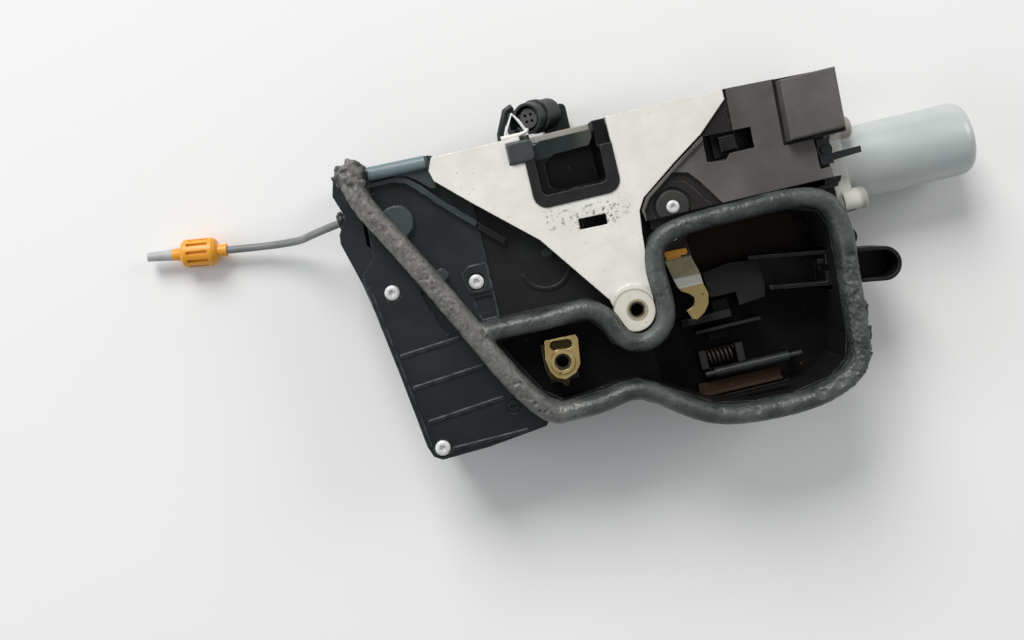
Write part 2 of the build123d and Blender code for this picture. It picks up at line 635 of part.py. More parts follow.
def lock_lever():
    body = rod(0, 0, 2.9, -12.8, -4) + slab([(-2.3, -5.4), (2.4, -5.4), (2.4, 4.1), (-2.3, 4.1)],
                                            -9, -4)
    arm = slab([(0, -4.6), (13.1, -3.8), (13.1, -1.5), (0, -1.8)], -8, -4.4)
    body = body + arm
    return Pos(79.4, 40.4) * (body - rod(0, 0, 1.5 + bearing_gap, -14, 0))


def lock_pin():
    return rod(79.4, 40.4, 1.5, -22, -3.2)


def child_lock_slider():
    knob = block(42.6, 48.8, 47.8, 53.7, -7, -2.2)
    knob = fillet(knob.faces().sort_by(Axis.Z)[-1].edges(), 0.8)
    foot = block(40.6, 50, 46.2, 55.2, -9.6, -6.4)
    return knob + foot


def slider_guide():
    return block(36.2, 55.4, 45.4, 56, -12.4, -9.65)


# ---------------------------------------------------------------- release lever
def release_hook():
    outline = area([(15.2, 20), (15.0, 13.7), (16.4, 7.1), (17.6, 3.5), (18.7, 1.7), (21.4, 0.1),
                    (22.8, -1.6), (22.6, -3.2), (21.8, -4.7), (19.0, -5.7), (20.4, -9.2), (22.1, -9.7),
                    (25.2, -7.9), (27.4, -5.0), (28.2, -1.5), (27.3, 2.2), (26.8, 6.0), (24.9, 13.0),
                    (24.4, 20)])
    side = Plane.YZ * Polygon((21, -11), (21, -13), (6.4, -13), (2.8, -15), (-12, -15), (-12, -13.2),
                              (3.4, -13.2), (7.2, -11), align=None)
    sheet = extrude(side, amount=40, dir=(1, 0, 0))
    body = prism(outline, -16, -10) & sheet
    body = body + rod(19.8, 22.6, 5.2, -13, -11) + rod(19.8, 22.6, 3.2, -13.6, -10)
    return body - rod(19.8, 22.6, 2 + bearing_gap, -15, -8)


def release_tab():
    tab = slab([(15.2, 15.0), (23.6, 14.8), (23.7, 17.2), (15.3, 17.4)], -11, -9.6, 0.8)
    return tab + block(15.6, 21, 14.1, 15.6, -11, -10.4)


def release_pin():
    return rod(19.8, 22.6, 2, -20, -9.4)


def return_spring():
    coil = Pos(23.8, -26, -23.5) * Rot(0, 90, 0) * Helix(pitch=1.6, height=10.2, radius=2.7)
    wire = Plane(origin=coil @ 0, z_dir=coil % 0) * Circle(0.45)
    return sweep(wire, path=coil)


def guide_rod():
    thick = rod_x(-31.6, -20.5, 1.95, 25, 53.4)
    return thick + rod_x(-31.6, -20.5, 1.2, 21.4, 58.4)


def cable_duct():
    low = floor_right
    outer = area([(-27, -duct_half - 0.2), (21, -duct_half), (21, duct_half), (-29, duct_half)])
    outer = outer + Pos(21, 0) * Circle(duct_half)
    inner = area([(-40, -duct_half + duct_wall), (21, -duct_half + duct_wall),
                  (21, duct_half - duct_wall), (-40, duct_half - duct_wall)])
    inner = inner + Pos(21, 0) * Circle(duct_half - duct_wall)
    body = prism(outer, low, -13.6) - prism(inner, low + 1.4, -12)
    stop = block(-0.7, 0.7, -duct_half, duct_half, low, -13.6)
    stop = stop - block(-2, 2, -1.3, 1.3, -24, -10)
    body = body + stop + block(-3.4, -1.4, 1.6, 3.4, low, -13.9)
    body = Pos(73.4, -2.2) * Rot(0, 0, duct_tilt) * body
    return body - block(40, 51.2, -12, 6.9, low - 1, -12)


# ---------------------------------------------------------------- electrical socket
def socket_frame():
    axis = Vector(0.56, 0.08, -0.82)
    return Plane(origin=(-22, 77.2, -18.5), x_dir=(0.82, 0, 0.56), z_dir=axis)


def plug_body():
    place = socket_frame()
    shell = place * (Pos(0, 0, 8) * Cylinder(5.9, 16))
    collar = place * (Pos(0, 0, 6.5) * Cylinder(6.5, 2))
    neck = block(-16, -6, 67.5, 81, -44, -30)
    neck = fillet(neck.edges().filter_by(Axis.Z).sort_by(Axis.Y)[-2:], 2)
    bore = place * (Pos(0, 0, 3.4) * Cylinder(4.9, 10))
    notch = place * (Pos(-5.8, 0, 1) * Box(3, 4.6, 9))
    return shell + collar + neck - bore - notch


def plug_insert():
    place = socket_frame()
    core = place * (Pos(0, 0, 4.9) * Cylinder(3.7, 7))
    for turn in range(4):
        x = 1.7 * math.cos(math.radians(90 * turn + 45))
        y = 1.7 * math.sin(math.radians(90 * turn + 45))
        core = core - place * (Pos(x, y, 2) * Cylinder(0.65, 5))
    return core


def plug_clip():
    place = socket_frame()
    strap = place * (Pos(-8.1, 0.4, 3) * Box(1.4, 10, 8.5))
    leg_a = place * (Pos(-6.9, 3.6, 3) * Box(1.4, 1.3, 8.5))
    leg_b = place * (Pos(-6.9, -2.8, 3) * Box(1.4, 1.3, 8.5))
    return strap + leg_a + leg_b


# ---------------------------------------------------------------- release cable
def cable_gland():
    body = gland_solid(0)
    return body - bar_between(gland_point(-5), gland_point(20), cord_r)


def gland_point(distance):
    first, second = (Vector(*p) for p in cable_route()[:2])
    return first + (second - first).normalized() * distance


def gland_solid(extra):
    body = bar_between(gland_point(0), gland_point(4.5), 2.1 + extra)
    body = body + bar_between(gland_point(4.5), gland_point(11.4), 3.2 + extra)
    return body + bar_between(gland_point(9.2), gland_point(10.6), 4.0 + extra)


def cable_route():
    return [(-88.5, 57.1, -24), (-109.5, 54.12, -24), (-121, 52.35, coupling_z),
            (-147.5, 56.1, coupling_z)]


def bend_radius(a, b, c):
    first = Vector(*b) - Vector(*a)
    second = Vector(*c) - Vector(*b)
    turn = math.radians(first.get_angle(second))
    return 0.45 * min(first.length, second.length) / math.tan(turn / 2)


def release_cable():
    route = cable_route()
    path = Line(route[0], route[1])
    radii = [bend_radius(*route[i:i + 3]) for i in range(len(route) - 2)]
    print("cable bend radii", [round(r, 1) for r in radii])
    pieces = []
    last = Vector(*route[0])
    for i, radius in enumerate(radii):
        a, b, c = (Vector(*p) for p in route[i:i + 3])
        first = (b - a).normalized()
        second = (c - b).normalized()
        turn = math.radians(first.get_angle(second))
        reach = radius * math.tan(turn / 2)
        enter = b - first * reach
        leave = b + second * reach
        pieces.append(Line(last, enter))
        middle = b + (second - first).normalized() * (radius / math.cos(turn / 2) - radius)
        pieces.append(ThreePointArc(enter, middle, leave))
        last = leave
    pieces.append(Line(last, Vector(*route[-1])))
    path = Wire(pieces)
    section = Plane(origin=route[0], z_dir=path % 0) * Circle(cord_r)
    tube = sweep(section, path=path)
    print("cable length", round(path.length, 1), "area check",
          round(tube.volume / (math.pi * cord_r ** 2 * path.length), 4))
    return tube


def coupling_frame():
    return Plane(origin=(-147.5, 56.1, coupling_z), x_dir=(0, 0, 1), z_dir=(-21.2, 3.0, 0))


def cable_coupling():
    profile = [(0, 0), (0, 2.4), (3.4, 2.6), (4.2, 4.6), (5.4, 5.5), (16.4, 5.5), (17.4, 4.6),
               (18.2, 2.5), (21.4, 2.3), (21.4, 0)]
    face = make_face(Polyline(*[(r, 0, z) for z, r in profile], close=True))
    body = revolve(face, Axis.Z)
    for turn in range(10):
        slot = Rot(0, 0, 36 * turn) * Pos(5.3, 0, 10.9) * Box(1.6, 1.3, 8)
        body = body - slot
    return coupling_frame() * body


def cable_tip():
    return coupling_frame() * Pos(0, 0, 21.4 + 4.9) * Cone(2.2, 1.75, 9.8)


# ---------------------------------------------------------------- cable lever
def cable_lever():
    body = rod(0, 0, 5, -19, -13) + slab([(-4, 0), (4, 0), (2.6, -14), (-2.6, -14)], -18, -14)
    body = body + rod(0, -14, 2.6, -18, -14) - rod(0, -14, 1.2, -20, -12)
    return Pos(-77.2, 50.3) * (body - rod(0, 0, 3 + bearing_gap, -20, -12))


def lever_pin():
    return rod(-77.2, 50.3, 3, -34, -10.6)


# ---------------------------------------------------------------- export
os.makedirs("parts", exist_ok=True)
for make in (latch_plate, thread_collar, mouth_liner, striker_bumper, claw, claw_pin, claw_spring,
             pawl, pawl_pin, housing_base, main_housing, cavity_wall, left_housing, left_cover,
             cover_screws, corner_screw, fixing_nut, nut_plate, nut_seat, seal_loop, seal_strip,
             actuator_housing, actuator_cover, rivet_disc, disc_rivet, housing_cap,
             motor_carrier, carrier_pegs, motor_can, motor_rotor, drive_wheel, wheel_pin,
             lock_lever, lock_pin, child_lock_slider, slider_guide, release_hook, release_tab,
             release_pin, return_spring, guide_rod, cable_duct, plug_body, plug_insert,
             plug_clip, cable_gland, release_cable, cable_coupling, cable_tip, cable_lever,
             lever_pin):
    save(make.__name__, make())
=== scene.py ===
import bpy
import bmesh
import math
import random
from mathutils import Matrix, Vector, noise


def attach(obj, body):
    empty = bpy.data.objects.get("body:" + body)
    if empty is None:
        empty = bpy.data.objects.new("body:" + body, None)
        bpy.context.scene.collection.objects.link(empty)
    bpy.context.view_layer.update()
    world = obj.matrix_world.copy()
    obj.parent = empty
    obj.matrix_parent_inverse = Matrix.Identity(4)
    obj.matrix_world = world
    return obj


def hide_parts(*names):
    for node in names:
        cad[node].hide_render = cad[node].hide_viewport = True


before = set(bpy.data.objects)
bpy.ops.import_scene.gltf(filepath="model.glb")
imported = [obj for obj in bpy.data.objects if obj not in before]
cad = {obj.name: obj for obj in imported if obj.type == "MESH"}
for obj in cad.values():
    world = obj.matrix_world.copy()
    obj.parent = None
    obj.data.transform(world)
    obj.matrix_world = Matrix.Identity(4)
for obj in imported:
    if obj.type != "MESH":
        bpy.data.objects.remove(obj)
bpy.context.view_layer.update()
mm = 0.001
print("frame loaded:", len(cad), "nodes")


# camera, light and floor, in mm; the camera looks straight down
stand = {"floorZ": -48.0, "floorSize": 3000.0, "floorColour": (0.88, 0.88, 0.875),
         "floorRough": 0.9, "floorGloss": 0.2}
shot = {"place": (-41.2, 39.1, 420.0), "turn": -13.3, "lens": 41.3, "sensor": 36, "nearest": 10,
        "shiftX": 0.0117, "shiftY": -0.0879}
lamps = [
    {"name": "softBack", "place": (-380, 1850, 1450), "size": 1150, "power": 46, "tint": (1.0, 0.99, 0.97)},
    {"name": "softLeft", "place": (-1900, 300, 960), "size": 1000, "power": 9.5, "tint": (0.93, 0.97, 1.0)},
    {"name": "softRight", "place": (1800, 700, 1120), "size": 900, "power": 9.5, "tint": (1.0, 0.98, 0.95)},
]
lampAim = (0, 10, 0)
sky = {"level": 0.33, "tint": (0.96, 0.98, 1.0)}


def showObject(name, data):
    shown = bpy.data.objects.new(name, data)
    bpy.context.scene.collection.objects.link(shown)
    return shown


def addCamera():
    lens = bpy.data.cameras.new("viewCamera")
    lens.sensor_width = shot["sensor"]
    lens.lens = shot["lens"]
    lens.shift_x = shot["shiftX"]
    lens.shift_y = shot["shiftY"]
    lens.clip_start = shot["nearest"] * mm
    camera = showObject("viewCamera", lens)
    camera.location = Vector(shot["place"]) * mm
    camera.rotation_euler = (0, 0, math.radians(shot["turn"]))
    bpy.context.scene.camera = camera


def addLamps():
    for row in lamps:
        light = bpy.data.lights.new(row["name"], "AREA")
        light.shape = "SQUARE"
        light.size = row["size"] * mm
        light.energy = row["power"]
        light.color = row["tint"]
        lamp = showObject(row["name"], light)
        lamp.location = Vector(row["place"]) * mm
        aim = Vector([v * mm for v in lampAim]) - lamp.location
        lamp.rotation_euler = aim.to_track_quat("-Z", "Y").to_euler()


def addSky():
    world = bpy.context.scene.world or bpy.data.worlds.new("world")
    bpy.context.scene.world = world
    world.use_nodes = True
    background = world.node_tree.nodes["Background"]
    background.inputs["Color"].default_value = (*sky["tint"], 1)
    background.inputs["Strength"].default_value = sky["level"]
    bpy.context.scene.view_settings.view_transform = "Standard"


def addFloor():
    mesh = bpy.data.meshes.new("floor")
    half = stand["floorSize"] * mm / 2
    z = stand["floorZ"] * mm
    corners = [(-half, -half, z), (half, -half, z), (half, half, z), (-half, half, z)]
    mesh.from_pydata(corners, [], [(0, 1, 2, 3)])
    mat = bpy.data.materials.new("floorPaper")
    mat.use_nodes = True
    shader = mat.node_tree.nodes["Principled BSDF"]
    shader.inputs["Base Color"].default_value = (*stand["floorColour"], 1)
    shader.inputs["Roughness"].default_value = stand["floorRough"]
    shader.inputs["Specular IOR Level"].default_value = stand["floorGloss"]
    mesh.materials.append(mat)
    showObject("floor", mesh)


addCamera()
addLamps()
addSky()
addFloor()
print("camera, lamps and floor set")


# finishes: each is a base with patches, tinted edges, specks and a fine grain; the edge tint is partly rubbed
# edges and partly painted edge highlight, mostly highlight on the dark finishes
plateHole = (0, 0)
nutSpot = (-30.1, -12.2)
# what a finish has unless it says otherwise: lengths in mm, noise scales per metre
plain = {"patchScale": 45, "speckScale": 420, "speckCut": 0.66, "grainScale": 1400, "wearScale": 260,
         "smearScale": 120, "round": 0.35, "edgeShare": 0.6, "roughSpread": 0.08, "metal": 0.0,
         "gloss": 0.5, "bump": 0.25, "depth": 0.12}
# noise for each effect: detail, roughness
texture = {"patch": (4.0, 0.6), "fuzz": (3.0, 0.7), "grime": (4.0, 0.65), "speck": (2.0, 0.5),
           "wear": (3.0, 0.55), "smear": (3.0, 0.55), "grain": (3.0, 0.6)}
# the values that each effect fades between; a soft one is a fade's width, the ring's in mm
cuts = {"patch": (0.35, 0.68), "fuzz": (0.42, 0.62), "smear": (0.3, 0.7), "edge": (0.985, 0.80),
        "wear": (0.38, 0.60), "grimeSoft": 0.05, "speckSoft": 0.06, "ringSoft": 0.25}


def link(tree, a, b):
    tree.links.new(a, b)


def addNode(tree, kind, **values):
    node = tree.nodes.new(kind)
    for key, value in values.items():
        setattr(node, key, value)
    return node


def noiseNode(tree, coords, scale, effect):
    node = addNode(tree, "ShaderNodeTexNoise")
    node.inputs["Scale"].default_value = scale
    node.inputs["Detail"].default_value = texture[effect][0]
    node.inputs["Roughness"].default_value = texture[effect][1]
    link(tree, coords, node.inputs["Vector"])
    return node.outputs["Fac"]


def remap(tree, value, low, high, outLow=0.0, outHigh=1.0):
    node = addNode(tree, "ShaderNodeMapRange")
    node.inputs["From Min"].default_value = low
    node.inputs["From Max"].default_value = high
    node.inputs["To Min"].default_value = outLow
    node.inputs["To Max"].default_value = outHigh
    link(tree, value, node.inputs["Value"])
    return node.outputs["Result"]


def mixColour(tree, factor, first, second):
    node = addNode(tree, "ShaderNodeMix", data_type="RGBA")
    link(tree, factor, node.inputs["Factor"])
    for socket, value in ((node.inputs[6], first), (node.inputs[7], second)):  # the two colour sockets
        if isinstance(value, tuple):
            socket.default_value = (*value, 1)
        else:
            link(tree, value, socket)
    return node.outputs[2]


def multiply(tree, a, b):
    node = addNode(tree, "ShaderNodeMath", operation="MULTIPLY")
    for socket, value in zip(node.inputs, (a, b)):
        if isinstance(value, (int, float)):
            socket.default_value = value
        else:
            link(tree, value, socket)
    return node.outputs[0]


def boxMask(tree, coords, low, high, soft):
    axes = addNode(tree, "ShaderNodeSeparateXYZ")
    link(tree, coords, axes.inputs[0])
    mask = None
    for i in range(3):
        for edge, sign in ((low[i], 1), (high[i], -1)):
            if edge is None:
                continue
            part = remap(tree, axes.outputs[i], (edge - soft * sign) * mm, (edge + soft * sign) * mm)
            mask = part if mask is None else multiply(tree, mask, part)
    return mask


def ringMask(tree, coords, x, y, inner, outer):
    axes = addNode(tree, "ShaderNodeSeparateXYZ")
    link(tree, coords, axes.inputs[0])
    flat = addNode(tree, "ShaderNodeCombineXYZ")
    link(tree, axes.outputs[0], flat.inputs[0])
    link(tree, axes.outputs[1], flat.inputs[1])
    away = addNode(tree, "ShaderNodeVectorMath", operation="DISTANCE")
    link(tree, flat.outputs[0], away.inputs[0])
    away.inputs[1].default_value = (x * mm, y * mm, 0)
    reach = away.outputs["Value"]
    soft = cuts["ringSoft"]
    within = remap(tree, reach, (outer + soft) * mm, (outer - soft) * mm)
    beyond = remap(tree, reach, (inner - soft) * mm, (inner + soft) * mm)
    return multiply(tree, within, beyond)


def dustyColour(tree, coords, blotch, look):
    dusty = mixColour(tree, blotch, look["dustBase"], look["dustPatch"])
    fuzz = remap(tree, noiseNode(tree, coords, look["fuzzScale"], "fuzz"), *cuts["fuzz"])
    return mixColour(tree, multiply(tree, fuzz, look["fuzzShare"]), dusty, look["dustPale"])


# the finish's edge tint on rounded edges, broken up by noise: rubbed edges, and on the dark finishes a
# painted edge highlight
def edgeWearAndHighlightMask(tree, coords, bevel, look):
    flat = addNode(tree, "ShaderNodeNewGeometry")
    dot = addNode(tree, "ShaderNodeVectorMath", operation="DOT_PRODUCT")
    link(tree, bevel.outputs["Normal"], dot.inputs[0])
    link(tree, flat.outputs["Normal"], dot.inputs[1])
    rounded = remap(tree, dot.outputs["Value"], *cuts["edge"], 0.0, look["edgeShare"])
    broken = remap(tree, noiseNode(tree, coords, look["wearScale"], "wear"), *cuts["wear"])
    return multiply(tree, rounded, broken)


def surfaceColour(tree, coords, bevel, look):
    blotch = remap(tree, noiseNode(tree, coords, look["patchScale"], "patch"), *cuts["patch"])
    colour = mixColour(tree, blotch, look["base"], look["patch"])
    if "dustBase" in look:
        dusted = addNode(tree, "ShaderNodeAttribute", attribute_name="dust").outputs["Fac"]
        colour = mixColour(tree, dusted, colour, dustyColour(tree, coords, blotch, look))
    for low, high, soft, tint, share in look.get("areas", []):
        mask = multiply(tree, boxMask(tree, coords, low, high, soft), share)
        colour = mixColour(tree, mask, colour, tint)
    for x, y, inner, outer, tint, share in look.get("rings", []):
        mask = multiply(tree, ringMask(tree, coords, x, y, inner, outer), share)
        colour = mixColour(tree, mask, colour, tint)
    for low, high, soft, tint, cut, scale in look.get("grime", []):
        dirt = remap(tree, noiseNode(tree, coords, scale, "grime"), cut, cut + cuts["grimeSoft"])
        mask = multiply(tree, boxMask(tree, coords, low, high, soft), dirt)
        colour = mixColour(tree, mask, colour, tint)
    if "speck" in look:
        cut = look["speckCut"]
        grit = noiseNode(tree, coords, look["speckScale"], "speck")
        colour = mixColour(tree, remap(tree, grit, cut, cut + cuts["speckSoft"]), colour, look["speck"])
    # edge tint: rubbed edges, and painted edge highlights on the dark finishes
    if "edge" in look:
        colour = mixColour(tree, edgeWearAndHighlightMask(tree, coords, bevel, look), colour, look["edge"])
    return colour


def makeFinish(name, look):
    look = {**plain, **look}
    mat = bpy.data.materials.new(name)
    mat.use_nodes = True
    tree = mat.node_tree
    shader = tree.nodes["Principled BSDF"]
    coords = addNode(tree, "ShaderNodeTexCoord").outputs["Object"]
    bevel = addNode(tree, "ShaderNodeBevel", samples=4)
    bevel.inputs["Radius"].default_value = look["round"] * mm
    link(tree, surfaceColour(tree, coords, bevel, look), shader.inputs["Base Color"])
    smear = noiseNode(tree, coords, look["smearScale"], "smear")
    roughness = remap(tree, smear, *cuts["smear"],
                      look["rough"] - look["roughSpread"], look["rough"] + look["roughSpread"])
    link(tree, roughness, shader.inputs["Roughness"])
    shader.inputs["Metallic"].default_value = look["metal"]
    shader.inputs["Specular IOR Level"].default_value = look["gloss"]
    bump = addNode(tree, "ShaderNodeBump")
    bump.inputs["Strength"].default_value = look["bump"]
    bump.inputs["Distance"].default_value = look["depth"] * mm
    link(tree, noiseNode(tree, coords, look["grainScale"], "grain"), bump.inputs["Height"])
    link(tree, bevel.outputs["Normal"], bump.inputs["Normal"])
    link(tree, bump.outputs["Normal"], shader.inputs["Normal"])
    return mat


